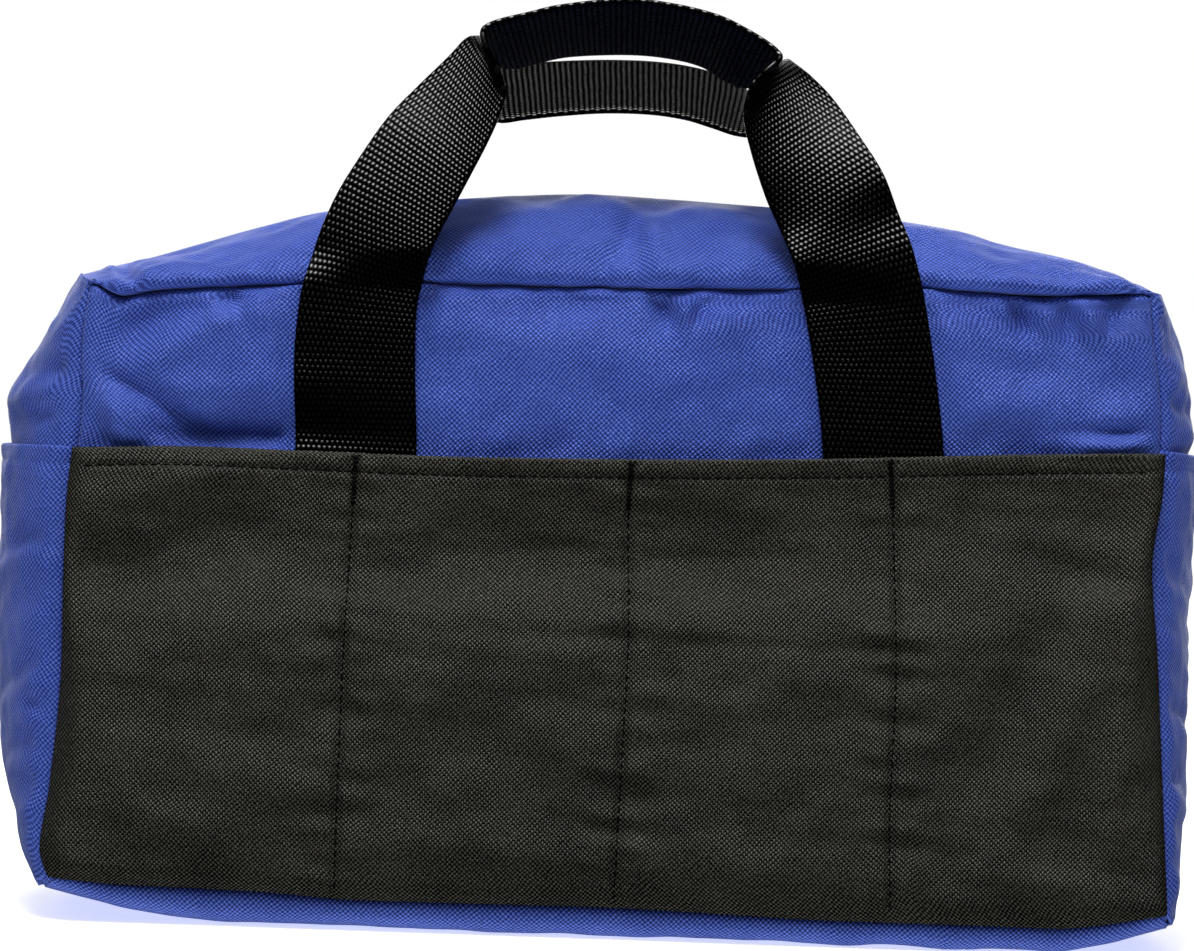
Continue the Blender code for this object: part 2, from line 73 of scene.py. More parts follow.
# The seams of the front panel
SIDE_ROW, EDGE_ROW = "z x", "x z"
LEFT_SEAM = table(SIDE_ROW,
    (14, -173), (24, -176), (44, -173.7), (84, -171.5), (133, -172), (170, -170), (190, -171),
    (210, -169),
)
RIGHT_SEAM = table(SIDE_ROW,
    (14, 190), (42, 188.2), (96, 184.7), (128, 181.8), (154, 184.8), (176, 185.4), (206, 182),
    (218, 181),
)
BOTTOM_SEAM = table(EDGE_ROW,
    (-173, 14), (-151, 12.7), (-108, 12), (-72, 10.3), (6, 10.7), (85, 9), (154, 9), (190, 14),
)
TOP_SEAM = table(EDGE_ROW,
    (-169, 210), (-158, 205.3), (-147, 207.5), (-110, 210.3), (-60, 212.7), (12, 213.7), (63, 215),
    (107, 216.8), (145, 215.9), (181, 218),
)
POCKET_EDGE = table(EDGE_ROW,
    (-171, 155), (-130, 156.5), (-58, 156), (11, 157.2), (74, 159.4), (139, 163), (185, 165),
)
CROWN = table(EDGE_ROW,
    (-178, 214), (-171, 219), (-151, 223), (-124, 230.2), (-97, 237.5), (-43, 244.8), (-2, 247.3),
    (39, 245.8), (82, 243.5), (115, 240), (135, 234.9), (163, 230.2), (181, 223), (188, 218.5),
)

# How far each end gusset swells past the side seams, and how far it lifts
END_ROW = "v out lift"
LEFT_SWELL = table(END_ROW,
    (0, 7, -7), (0.04, 11.5, -3), (0.10, 17, 0), (0.19, 23, 0), (0.31, 27, 0), (0.46, 27.6, 0),
    (0.70, 27.6, 0), (0.79, 30.5, 0), (0.88, 20.2, 0.5), (0.95, 12.2, 2), (1, 6, 2.5),
)
RIGHT_SWELL = table(END_ROW,
    (0, 7, -8), (0.05, 10.7, -3), (0.10, 11.7, 0), (0.23, 15, 0), (0.40, 15, 0), (0.47, 15.2, 0),
    (0.55, 18.4, 0), (0.67, 16.6, 0), (0.73, 15.7, 0), (0.80, 16.7, 0), (0.92, 14, 0), (1, 7.5, 1),
)

# Folds: middle, reach along and across, direction, height outwards. On the front and the top
# x and z are places in the front view. On an end gusset x is the way back from the front seam.
FOLD = "x z along across angle height"
FRONT_FOLDS = table(FOLD,
    (-143, 172, 34, 7, 8, 3.5), (-110, 163, 40, 8, -3, -2.5), (-121, 200, 22, 7, 70, 3),
    (-152, 196, 18, 6, 35, -3), (24, 203, 16, 7, -62, -3), (42, 205, 16, 7, 55, 2.5),
    (150, 203, 26, 7, -20, -3), (170, 172, 22, 7, 12, 2.5), (-35, 118, 70, 9, 2, -1.5),
    (55, 117, 60, 9, -2, -1.5),
)
TOP_FOLDS = table(FOLD,
    (12, 232, 18, 9, 80, -4), (-128, 220, 26, 8, 20, -3), (120, 225, 26, 8, -25, -3),
)
# Fine folds and creases of the blue front above the pocket
FINE_FRONT_FOLDS = table(FOLD,
    (-121, 205, 9, 3, -70, -1.4), (-128, 203, 9, 3.5, -62, 1), (-113, 204, 9, 3.5, -75, 1),
    (-157, 164, 14, 5, -32, 2.4), (-152, 174, 16, 3, -28, -1.6), (-138, 168, 14, 3.5, -40, -1.2),
    (-115, 160, 30, 4, 0, -1.4), (-135, 192, 18, 5, 35, 1), (-33, 196, 30, 6, 4, 0.6),
    (20, 208, 8, 3, -58, -1.2), (34, 208, 8, 3, 58, -1.2), (27, 203, 9, 4, 88, 1.3),
    (137, 210, 7, 2.6, -70, -1.6), (145, 208, 8, 3, -60, 1.4), (153, 210, 7, 2.6, -75, -1.6),
    (161, 208, 8, 3.2, -68, 1.4), (168, 210, 7, 2.6, 80, -1.3), (150, 190, 30, 7, -6, -1.2),
    (173, 172, 16, 2.6, 3, -1.5), (176, 167, 14, 3, 3, 1.3), (130, 178, 24, 7, 12, 0.8),
)
# Fine folds of the lit top gusset
FINE_TOP_FOLDS = table(FOLD,
    (-157, 211, 9, 3, -45, -1.6), (-163, 213, 8, 3, -50, 0.7), (-147, 212, 16, 4, 18, 1),
    (8, 232, 22, 5, 66, -1.2), (18, 228, 16, 4.5, -64, 1.4), (-33, 226, 30, 6, 8, 0.8),
    (58, 230, 20, 7, -70, -1), (-90, 224, 22, 6, 22, -0.8), (128, 224, 18, 5, -30, 1),
    (150, 221, 16, 4, -10, -0.9), (168, 219, 12, 4, -35, 1),
)
# Creases of the black pocket: sharp ones across the panel, softer bulges between the dividers
POCKET_FOLDS = table(FOLD,
    (-20, 127.5, 62, 2.4, 0, -0.5), (-128, 92, 30, 18, 24, 0.9), (-125, 40, 34, 20, 10, 0.9),
    (60, 40, 40, 22, -6, 0.7), (-38, 66, 18, 12, 30, -0.8), (45, 98, 60, 2.5, -1, -0.4),
    (138, 78, 50, 10, 66, -1.1), (156, 76, 50, 9, 68, 1.1), (174, 70, 60, 6, 86, 1),
    (165, 124, 20, 5, -8, -0.9), (40, 24, 110, 8, -3, 0.8), (150, 24, 26, 8, -12, 0.8),
)
# On the end gussets
END_FOLDS = table(FOLD,
    (14, 172, 24, 3.4, -6, 1.8), (16, 180, 26, 3.4, -4, -1.8), (12, 192, 22, 5, 10, 1.2),
    (20, 164, 30, 4, 4, -1.4), (34, 200, 20, 7, -12, -0.8), (78, 178, 30, 7, 12, 0.8),
    (86, 195, 26, 6, -14, -0.8),
)
# On the end pockets
END_POCKET_FOLDS = table(FOLD,
    (12, 124, 22, 3.6, -14, -1.6), (16, 117, 24, 3.6, -10, 1.2), (10, 82, 20, 3.4, -22, -1.6),
    (12, 74, 22, 4, -18, 1.2), (10, 58, 18, 3.2, -24, -1.4), (14, 50, 20, 4, -16, 1.2),
    (48, 100, 34, 12, 24, 1.4), (70, 60, 30, 10, -18, -1.4), (60, 130, 28, 8, 8, -1.2),
)

# How far the cloth stands out past its solid, down from the edge above it
DROP_ROW = "below out"
FRONT_PROFILE = table(DROP_ROW, (0, 0), (3, 0.2), (13, 2), (24, 2.6), (36, 1.6), (48, 1), (60, 1.2))
POCKET_PROFILE = table(DROP_ROW,
    (-40, 2.2), (0, 2.2), (9, 0.3), (14, -0.8), (26, -2.7), (30, -2.7), (40, -0.9), (50, 0.9),
    (62, 2.3), (82, 3.5), (112, 2.8), (137, 1.4), (150, 0),
)

# Uneven waves and puckers: seed, height, length, and the scale of the place along x and up.
# Puckers lie in a row along a seam, so their place is scaled down on one axis.
WAVES = "seed height reach x_scale up_scale"
FRONT_WAVES = table(WAVES, (3, 0.5, 42, 1, 1), (5, 0.2, 17, 1, 1))
FRONT_PUCKERS = table(WAVES, (9, 0.6, 13, 1, 0.25))
POCKET_WAVES = table(WAVES, (11, 0.26, 46, 1, 1.4), (13, 0.13, 19, 1, 1.3))
DIVIDER_PUCKERS = table(WAVES, (17, 0.45, 8.5, 0.16, 1))
HEM_PUCKERS = table(WAVES, (19, 0.16, 7, 1, 0.1))
END_WAVES = table(WAVES, (0, 0.3, 34, 1, 1), (1, 0.2, 14, 1, 1))
END_PUCKERS = table(WAVES, (2, 0.5, 11, 0.2, 1))
BASE_WAVES = table(WAVES, (31, 0.35, 26, 1, 0.5))
TOP_WAVES = table(WAVES, (41, 0.5, 40, 1, 130), (43, 0.2, 16, 1, 130))
TOP_PUCKERS = table(WAVES, (47, 0.5, 12, 1, 20))
BACK_WAVES = table(WAVES, (51, 0.7, 70, 1, 1.2), (53, 0.3, 26, 1, 1))
BACK_PUCKERS = table(WAVES, (55, 0.4, 13, 1, 0.25))

# The stitched lines that divide the front pocket
LEFT_DIVIDER = table(SIDE_ROW, (11, -80.7), (75, -80.5), (121, -79.7), (156, -78.6))
MIDDLE_DIVIDER = table(SIDE_ROW, (11, 10.5), (52, 11.4), (98, 12.4), (141, 11), (157.5, 11.6))
RIGHT_DIVIDER = table(SIDE_ROW, (9, 100.8), (48, 99.4), (81, 100), (145, 97.4), (160, 96))
DIVIDERS = (LEFT_DIVIDER, MIDDLE_DIVIDER, RIGHT_DIVIDER)

# A handle, from one foot over the top to the other, in millimetres: places of its middle line,
# and how far aside and above it the inner edge of the webbing lies. The rest is forwards.
STATION = "x y z aside above"
FRONT_HANDLE = table(STATION,
    (-79, -56, 122, 20, 0), (-79.1, -54.8, 157, 20, 0), (-80.6, -53, 186, 20, 0),
    (-80.2, -52.3, 205, 19.3, -1.5), (-78, -51.6, 216, 18.6, -3.5), (-75.5, -50.6, 225, 18, -5.5),
    (-71.7, -49, 235, 17, -7.5), (-66, -47, 246, 15.8, -9), (-59, -44, 258.5, 14.2, -10.2),
    (-52, -40.5, 269, 11.8, -10.8), (-45.5, -37, 279, 9.1, -11), (-41.9, -34.2, 286.2, 7.3, -10.5),
    (-41.2, -32.2, 289.9, 5, -8.3), (-41.6, -30.8, 292.8, 2.4, -5), (-42, -29.8, 294, 0, -1.2),
    (-41, -29, 293.8, -1.4, 3), (-38.6, -28.3, 294, -2.2, 4.8), (-34, -27.6, 295, -2.4, 5.8),
    (-26.2, -27.2, 297.2, -1.8, 5.9), (-15.1, -27, 300, -1.2, 6.2), (4.4, -27, 302, -0.3, 6.9),
    (19.5, -27, 301.1, 0.9, 6.6), (32.7, -27.4, 298.3, 2, 6.3), (41.5, -28, 293.9, 2.8, 6.5),
    (48, -28.8, 290.8, 3.2, 5.6), (52, -29.6, 289.8, 2.6, 3.8), (54.6, -30.6, 290.6, 1.2, 0.8),
    (55.4, -31.8, 290.6, -1.2, -1.6), (55.1, -33, 289.6, -4.6, -4.2), (54.4, -34.8, 286.5, -7.8, -5.7),
    (56.2, -37.2, 279.6, -11.5, -8), (61.2, -40.6, 269.7, -14, -9.7), (68.2, -45, 255.8, -15.7, -10.8),
    (74.7, -48, 244, -16.9, -10.2), (79.4, -50, 232.8, -17.6, -8.3), (82.7, -51.5, 224.5, -18.5, -6.8),
    (85.3, -52.3, 215.3, -19.2, -4.8), (87.5, -53, 205.2, -19.7, -2.6), (91.3, -54, 183, -20, 0),
    (94, -55.5, 160, -20, 0), (95, -57, 125, -20, 0),
)
BACK_HANDLE = table(STATION,
    (-86, 57, 122, 20, 0), (-86.4, 55.5, 157, 20, 0), (-87.2, 54, 189, 20, 0),
    (-86.3, 53.5, 206, 19.4, -1.2), (-84.6, 53, 218, 18.4, -3.4), (-81.4, 52, 229.5, 17.2, -5.4),
    (-77, 50, 240.5, 15.6, -7), (-71, 47.8, 252, 14, -8), (-64, 45, 263, 12.2, -7.8),
    (-57.2, 41.8, 271.8, 10.2, -6.4), (-51.6, 38.2, 277.6, 7.6, -3.6), (-47.8, 35, 281, 4.2, 0.4),
    (-45.2, 32.2, 282, 1, 4.6), (-42.6, 30, 282.4, -1, 8.6), (-38.4, 28.5, 282.9, -1.7, 10.6),
    (-30.7, 27.5, 284.3, -1.7, 10.8), (-18, 27, 285.9, -1.2, 10.7), (-2, 27, 287.2, -0.6, 10.5),
    (13.7, 27, 287.3, -0.2, 10.5), (26.4, 27.5, 286.1, 0.3, 10.6), (37, 28.5, 283.6, 1.4, 10.5),
    (46, 30, 280.2, 2, 9.4), (51.6, 32, 277, 1, 6.2), (55, 35, 274.7, -1.6, 0.8),
    (58.4, 38.2, 270.6, -5, -4.2), (63.4, 42, 266, -8, -7.2), (70, 45, 259.4, -10.8, -8.6),
    (77.2, 48, 250, -13.4, -9.2), (83.2, 50, 240.4, -15.5, -8.6), (87.7, 52, 230.8, -17.3, -7.2),
    (91, 53, 220.5, -18.7, -5), (94, 54, 209.5, -19.5, -2.4), (99, 55, 185, -20, 0),
    (101, 57, 161, -20, 0), (101.5, 58.5, 122, -20, 0),
)


def column(rows, name):
    """The first column of a table beside the named one."""
    return [(row[0], getattr(row, name)) for row in rows]


def smooth(rows, at):
    """Values of a two-column table at places, on a smooth curve that never overshoots."""
    xs = np.array([row[0] for row in rows], float)
    ys = np.array([row[1] for row in rows], float)
    rise = np.diff(ys) / np.diff(xs)
    slope = np.concatenate(([rise[0]], rise[1:], [rise[-1]]))
    same_way = rise[:-1] * rise[1:] > 0
    both = np.where(same_way, rise[:-1] + rise[1:], 1)
    slope[1:-1] = np.where(same_way, 2 * rise[:-1] * rise[1:] / both, 0)
    at = np.clip(at, xs[0], xs[-1])
    i = np.clip(np.searchsorted(xs, at, side="right") - 1, 0, len(xs) - 2)
    span = xs[i + 1] - xs[i]
    t = (at - xs[i]) / span
    return ((2 * t**3 - 3 * t**2 + 1) * ys[i] + (t**3 - 2 * t**2 + t) * span * slope[i]
            + (3 * t**2 - 2 * t**3) * ys[i + 1] + (t**3 - t**2) * span * slope[i + 1])


def lerp(a, b, t):
    return a + (b - a) * t


def nearer(t):
    """Share from the nearer end."""
    return np.minimum(t, 1 - t)


def step(t):
    """Smooth rise from 0 to 1."""
    t = np.clip(t, 0.0, 1.0)
    return t * t * (3 - 2 * t)


def bell(t):
    return np.exp(-t * t)


def roll_in(distance, reach):
    """1 at an edge and 0 from a distance of reach on, as an edge curls in to its seam."""
    return np.clip(1 - distance / reach, 0, 1) ** 2


def arch(t):
    """Round swell between two seams: 0 at both, 1 in the middle."""
    return np.sqrt(np.clip(1 - (2 * t - 1) ** 2, 0, 1)) ** 1.15


def xyz(x, y, z):
    return np.stack(np.broadcast_arrays(x, y, z), -1).astype(float)


def folded(folds, x, z):
    """Sum of the folds at places of a panel."""
    total = np.zeros(np.broadcast(x, z).shape)
    for fold in folds:
        turn = math.radians(fold.angle)
        dx, dz = x - fold.x, z - fold.z
        along = (dx * math.cos(turn) + dz * math.sin(turn)) / fold.along
        across = (dz * math.cos(turn) - dx * math.sin(turn)) / fold.across
        total += fold.height * np.exp(-along**2 - across**2)
    return total


def ripples(seed, x, z, reach, waves=26):
    """Uneven waves, about 1 high, whose length is about reach."""
    draw = np.random.default_rng(seed)
    total = np.zeros(np.broadcast(x, z).shape)
    for _ in range(waves):
        turn, phase = draw.uniform(0, 2 * math.pi, 2)
        length = reach * draw.uniform(0.6, 1.9)
        total += np.sin((x * math.cos(turn) + z * math.sin(turn)) * 2 * math.pi / length + phase)
    return total * math.sqrt(2 / waves)


def wavy(waves, x, up, first_seed=0):
    """Sum of a table's waves at places of a panel."""
    return sum(row.height * ripples(first_seed + row.seed, x * row.x_scale, up * row.up_scale, row.reach)
               for row in waves)


def graded(length, coarse, *zones):
    """Shares from 0 to 1 along a length, in coarse cells, with finer ones in (from, to, cell) zones."""
    place = np.linspace(0, length, int(length * 10) + 1)
    density = np.full_like(place, 1 / coarse)
    for start, stop, cell in zones:
        density[(place >= start) & (place <= stop)] = 1 / cell
    run = np.concatenate(([0], np.cumsum((density[1:] + density[:-1]) / 2 * np.diff(place))))
    marks = np.linspace(0, run[-1], math.ceil(run[-1]) + 1)
    return np.interp(marks, run, place) / length


def net(us, vs):
    """Grid of (u, v) with a row for each v."""
    return np.meshgrid(np.asarray(us, float), np.asarray(vs, float))


# The surfaces of the solids

def half_depth(z):
    return lerp(HALF_DEPTH_BASE, HALF_DEPTH_TOP, (z - LEAN_BOTTOM) / (LEAN_TOP - LEAN_BOTTOM))


def seam_at(seam, share):
    """Second column of a seam's table, at a share of the way along its first."""
    return smooth(seam, lerp(seam[0][0], seam[-1][0], share))


def front_outline(u, v):
    """x and z of the front panel, blended between its four seams."""
    x = lerp(seam_at(LEFT_SEAM, v), seam_at(RIGHT_SEAM, v), u)
    return x, lerp(seam_at(BOTTOM_SEAM, u), seam_at(TOP_SEAM, u), v)


def front(u, v):
    """Outer face of the solid front panel."""
    x, z = front_outline(u, v)
    swell = 16 * u * (1 - u) * v * (1 - v)
    inside = step(nearer(u) / 0.05) * step(v / 0.08) * step((1 - v) / 0.06)
    return xyz(x, -half_depth(z) - PANEL_CROWN * swell - folded(FRONT_FOLDS, x, z) * inside, z)


def hem_row(u):
    """v of the front panel where the pocket's upper edge lies."""
    x, z_bottom = front_outline(u, np.zeros_like(u))
    z_top = front_outline(u, np.ones_like(u))[1]
    return (smooth(POCKET_EDGE, x) - z_bottom) / (z_top - z_bottom)


def rows_to_v(u, row):
    """v of the front panel for rows that follow the pocket's edge, which is row POCKET_ROW."""
    hem = hem_row(u)
    return np.where(row <= POCKET_ROW, hem * row / POCKET_ROW,
                    lerp(hem, 1, (row - POCKET_ROW) / (1 - POCKET_ROW)))


def locate(x, z):
    """u and v of the front panel at places of the front view."""
    u, v = np.full(np.shape(x), 0.5), np.full(np.shape(x), 0.5)
    width = BOTTOM_SEAM[-1].x - BOTTOM_SEAM[0].x
    height = TOP_SEAM[-1].z - BOTTOM_SEAM[0].z
    for _ in range(14):
        found_x, found_z = front_outline(u, v)
        u = np.clip(u + (x - found_x) / width, 0, 1)
        v = np.clip(v + (z - found_z) / height, 0, 1)
    return u, v


def back(u, v):
    """Outer face of the solid back panel. Seen from behind, its left is at +X."""
    z = lerp(BACK_BOTTOM_Z, BACK_TOP_Z, v)
    return xyz(lerp(BACK_RIGHT_X, BACK_LEFT_X, u),
               half_depth(z) + PANEL_CROWN * 16 * u * (1 - u) * v * (1 - v), z)


def bridge(u, v, share):
    """Points at a share of the way from the front to the back, and the depth there."""
    near = front(u, v) + (0, CLOTH + GAP, 0)
    way = back(1 - u, v) - (0, CLOTH + GAP, 0) - near
    return near + way * share[..., None], way[..., 1]


def end(side, u, v):
    """Outer face of a solid end gusset, between the side seams of the front and the back."""
    swell = LEFT_SWELL if side < 0 else RIGHT_SWELL
    edge = np.full(np.shape(v), 0.0 if side < 0 else 1.0)
    w = 1 - u if side < 0 else u
    point = bridge(edge, v, w)[0]
    point[..., 0] += side * smooth(column(swell, "out"), v) * arch(w)
    point[..., 2] += smooth(column(swell, "lift"), v) * arch(w)
    return point


def joined(body, u, across, w, v):
    """A gusset's long strip, drawn out to meet the end gussets at both its ends."""
    point = body(u, across)
    x = point[..., 0]
    v = np.full(np.shape(w), float(v))
    for side, reach, edge in ((-1, LEFT_REACH, 1 - w), (1, RIGHT_REACH, w)):
        seam = body(np.full_like(u, side > 0), across)
        near = np.clip(1 - side * (seam[..., 0] - x) / reach, 0, None) ** 2
        point = point + (end(side, edge, v) - seam) * near[..., None]
    return point


def rolled_base(u, w):
    point, depth = bridge(u, np.zeros_like(u), w)
    from_seam = np.clip(nearer(w) * depth / BASE_ROLL, 0, 1)
    point[..., 2] *= 1 - np.sqrt(1 - (1 - from_seam) ** 2)
    return point


def base(u, v):
    """Outer face of the base, seen from below, with the front at v = 1."""
    return joined(rolled_base, u, 1 - v, 1 - v, 0)


def arched_top(u, v):
    turn = math.pi * v
    share, lift = (1 - np.cos(turn)) / 2, np.clip(np.sin(turn), 0, 1) ** 0.9
    point = bridge(u, np.ones_like(u), share)[0]
    point[..., 2] += (smooth(CROWN, point[..., 0]) - point[..., 2]) * lift
    in_front = step(-point[..., 1] / 25) * step(nearer(u) / 0.06) * lift
    dent = folded(TOP_FOLDS, point[..., 0], point[..., 2]) * in_front
    return point + xyz(0 * dent, -dent, dent) * 0.7


def top(u, v):
    """Outer face of the whole top gusset, seen from above, with the front at v = 0."""
    return joined(arched_top, u, v, (1 - np.cos(math.pi * v)) / 2, 1)


def top_share(width):
    """Half of a width across the crown, as a share of v."""
    return width / 2 / (math.pi * (HALF_DEPTH_TOP - CLOTH - GAP)) * 1.06


def stand_off(share, mouth):
    """From the cloth behind a pocket to the pocket's outer face, at a share of its height."""
    return CLOTH + lerp(POCKET_FOOT, mouth, step((share - MOUTH_FROM) / (MOUTH_FULL - MOUTH_FROM)))


# Meshes

def normals_of(grid):
    along = np.gradient(grid, axis=1)
    up = np.gradient(grid, axis=0)
    normal = np.cross(along, up)
    return normal / np.maximum(np.linalg.norm(normal, axis=-1, keepdims=True), 1e-9)


def moved_out(grid, distance):
    return grid + normals_of(grid) * np.asarray(distance)[..., None]


def lengths(grid, axis):
    """Distance along each line of a grid, from its first point."""
    steps = np.linalg.norm(np.diff(grid, axis=axis), axis=-1)
    zero = np.zeros_like(np.take(steps, [0], axis=axis))
    return np.concatenate((zero, np.cumsum(steps, axis=axis)), axis=axis)


def flat_cloth(grid):
    """Where each point of a grid lay in the flat cloth, in millimetres."""
    across, up = lengths(grid, 1), lengths(grid, 0)
    mid_row, mid_column = grid.shape[0] // 2, grid.shape[1] // 2
    across, up = across - across[:, mid_column, None], up - up[mid_row]
    return np.stack((across, np.broadcast_to(up, across.shape)), -1)


def placed(name, data):
    """A new object of the scene."""
    thing = bpy.data.objects.new(name, data)
    bpy.context.scene.collection.objects.link(thing)
    return thing


def make_mesh(name, points, faces, flats, look):
    """A piece from points in millimetres, faces and the flat place of each point."""
    mesh = bpy.data.meshes.new(name)
    mesh.from_pydata((np.asarray(points) * MM).tolist(), [], faces)
    if flats is not None:
        layer = mesh.uv_layers.new(name="Cloth")
        corners = np.empty(len(mesh.loops), np.int32)
        mesh.loops.foreach_get("vertex_index", corners)
        layer.uv.foreach_set("vector", np.asarray(flats, np.float32)[corners].ravel())
    mesh.shade_smooth()
    piece = placed(name, mesh)
    mesh.materials.append(look)
    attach(piece, "root")
    return piece


def cloth(name, outer, look, wall=CLOTH):
    """A closed thin piece whose outer face is a grid of points."""
    rows, columns = outer.shape[:2]
    inner = moved_out(outer, -wall)
    index = np.arange(rows * columns).reshape(rows, columns)
    a, b = index[:-1, :-1].ravel(), index[:-1, 1:].ravel()
    c, d = index[1:, 1:].ravel(), index[1:, :-1].ravel()
    shift = rows * columns
    outside = np.stack((a, b, c, d), 1)
    inside = np.stack((d, c, b, a), 1) + shift
    rim = np.concatenate((index[0, :], index[1:, -1], index[-1, -2::-1], index[-2:0:-1, 0]))
    after = np.roll(rim, -1)
    edge = np.stack((after, rim, rim + shift, after + shift), 1)
    faces = np.concatenate((outside, inside, edge)).tolist()
    points = np.concatenate((outer.reshape(-1, 3), inner.reshape(-1, 3)))
    flats = np.tile(flat_cloth(outer).reshape(-1, 2), (2, 1))
    return make_mesh(name, points, faces, flats, look)


# Blue front

PANEL_WIDTH, PANEL_HEIGHT = 356.0, 200.0
LEG_STATIONS = 6  # stations of the front handle's table that lie along a leg
LEG_FADE = 8.0  # width beside the webbing over which the cloth comes free
FRONT_FINENESS = 2.4  # height of the fine folds, against their table
SEAM_GROOVE, SIDE_GROOVE = 3.0, 2.0
HIDDEN_SINK = 2.6  # how far the cloth lies back where the pocket hides it


def leg_place(x, z):
    """1 under a leg of the front handle, where the webbing holds the cloth flat, and 0 elsewhere."""
    left = smooth([(s.z, s.x) for s in FRONT_HANDLE[:LEG_STATIONS]], z)
    right = smooth([(s.z, s.x) for s in FRONT_HANDLE[:-LEG_STATIONS - 1:-1]], z)
    near = np.minimum(np.abs(x - left), np.abs(x - right))
    return 1 - step((near - WEBBING_WIDTH / 2) / LEG_FADE)


def front_relief(u, v):
    """How far the blue cloth stands out from the solid front panel."""
    x, z = front_outline(u, v)
    below, above_pocket = smooth(TOP_SEAM, x) - z, z - smooth(POCKET_EDGE, x)
    sides = nearer(u) * PANEL_WIDTH
    free = 1 - leg_place(x, z)
    fine = FRONT_FINENESS * folded(FINE_FRONT_FOLDS, x, z) + wavy(FRONT_WAVES, x, z)
    puckers = wavy(FRONT_PUCKERS, x, z) * bell((below - 5) / 7)
    shown = step((above_pocket + 14) / 10)
    relief = (smooth(FRONT_PROFILE, below) + fine + puckers) * free
    relief *= step(sides / 14) * step(below / 5) * shown
    relief -= SEAM_GROOVE * roll_in(below, 3.5) * free + SIDE_GROOVE * roll_in(sides, 4.0)
    return relief - HIDDEN_SINK * (1 - shown)


def front_cloth(u, v):
    point = front(u, v)
    point[..., 1] -= front_relief(u, v)
    return point


# Black pocket

HEM = 9.0
HEM_STITCH = 6.0  # from the pocket's edge to the line of stitches
HEM_FOLD = 0.7  # added thickness of a hem
POCKET_HEIGHT = 146.0
POCKET_OUTSET = 0.004  # share of the panel's width that the black cloth reaches past its seams
POCKET_FINENESS = 2.0  # height of the folds, against their table
POCKET_DEEPEST = -2.7  # the cloth behind is free from here on
CORNER_DROP = 15.0  # how much lower the profile lies at the left end
LEG_SHARE, LEG_FOOT = 0.45, 112.0  # the legs hold the pocket out by this share, from this height
DIVIDER_GROOVE, DIVIDER_WIDTH = 1.2, 1.7
HEM_GROOVE = 0.6


def divider_gap(x, z):
    """Distance from the nearest dividing stitch line."""
    return np.min([np.abs(x - smooth(line, z)) for line in DIVIDERS], axis=0)


def pocket_relief(x, z):
    """How far the black cloth stands out from the solid pocket."""
    below, gap = smooth(POCKET_EDGE, x) - z, divider_gap(x, z)
    sewn = bell(gap / DIVIDER_WIDTH)
    belly = step(gap / 22) * step(below / 8) * bell((z - 80) / 60)
    down = below - CORNER_DROP * step((-100 - x) / 60)
    profile = smooth(POCKET_PROFILE, down) * (1 - 0.45 * step((x - 96) / 40))
    relief = POCKET_FINENESS * folded(POCKET_FOLDS, x, z) + 0.5 * belly + profile
    relief += wavy(POCKET_WAVES, x, z) * (1 - 0.6 * sewn)
    relief += wavy(DIVIDER_PUCKERS, x, z) * bell((gap - 4) / 8) * step(below / 10)
    relief = np.maximum(relief, POCKET_DEEPEST)
    held = 1 - LEG_SHARE * leg_place(x, z) * step((z - LEG_FOOT) / 12)
    relief = np.where(relief < 0, relief * held, relief)
    relief -= DIVIDER_GROOVE * sewn * step(below / 2)
    relief -= HEM_GROOVE * bell((below - HEM_STITCH) / 0.9)
    return relief + wavy(HEM_PUCKERS, x, z) * bell((below - HEM_STITCH) / 4)


def pocket_cloth(u, share):
    """Outer face of the black pocket at shares of its height."""
    place = lerp(-POCKET_OUTSET, 1 + POCKET_OUTSET, u)
    v = rows_to_v(place, POCKET_ROW * share)
    point = front(place, v)
    x, z = point[..., 0], point[..., 2]
    sides = nearer(u) * PANEL_WIDTH
    foot, lip = share * POCKET_HEIGHT, (1 - share) * POCKET_HEIGHT
    held = step(sides / 9) * step(foot / 7)
    out = stand_off(share, FRONT_MOUTH) + pocket_relief(x, z) * held
    out -= 2.2 * roll_in(sides, 4.5) + 2.0 * roll_in(foot, 4.0) + 0.7 * roll_in(lip, 1.0)
    point[..., 1] -= out
    return point


def pocket_at(x, z):
    """Points of the black pocket's face at places of the front view."""
    u, v = locate(x, z)
    return pocket_cloth((u + POCKET_OUTSET) / (1 + 2 * POCKET_OUTSET), np.clip(v / hem_row(u), 0, 1))


# Gussets

END_FINENESS = 0.8  # height of the folds, against their table
END_CURL = (0.9, 2.5)  # depth and reach of the edges that roll in to the seams
END_POCKET_CURL = (2.2, 4.5)


def end_cloth(side, u, folds, seed, outline, curl):
    """Outer face of an end gusset or its pocket, with its folds, over a solid grid."""
    w = 1 - u if side < 0 else u
    back_way = w * (2 * HALF_DEPTH_BASE)
    z = outline[..., 2]
    near_seam = nearer(w) * 2 * HALF_DEPTH_BASE
    relief = END_FINENESS * folded(folds, back_way, z) + wavy(END_WAVES, back_way, z, seed)
    relief += wavy(END_PUCKERS, back_way, z, seed) * bell((near_seam - 4) / 7)
    depth, reach = curl
    return moved_out(outline, relief * step(near_seam / 6) - depth * roll_in(near_seam, reach))


def base_cloth(u, v):
    point = base(u, v)
    seam = nearer(v) * 2 * HALF_DEPTH_BASE
    x, y = point[..., 0], point[..., 1]
    rolled = bell((seam - 8) / 7)
    relief = wavy(BASE_WAVES, x, y) * rolled + 0.8 * bell((seam - 5) / 4)
    relief -= 1.2 * roll_in(seam, 2.5)
    lifted = point[..., 2] + normals_of(point)[..., 2] * relief
    relief = np.where(lifted < 0, 0, relief)
    return moved_out(point, relief)


TOP_FINENESS = 1.8
LIP, LIP_AT = 2.9, 4.0  # how far the top rolls out over the seam, and where most


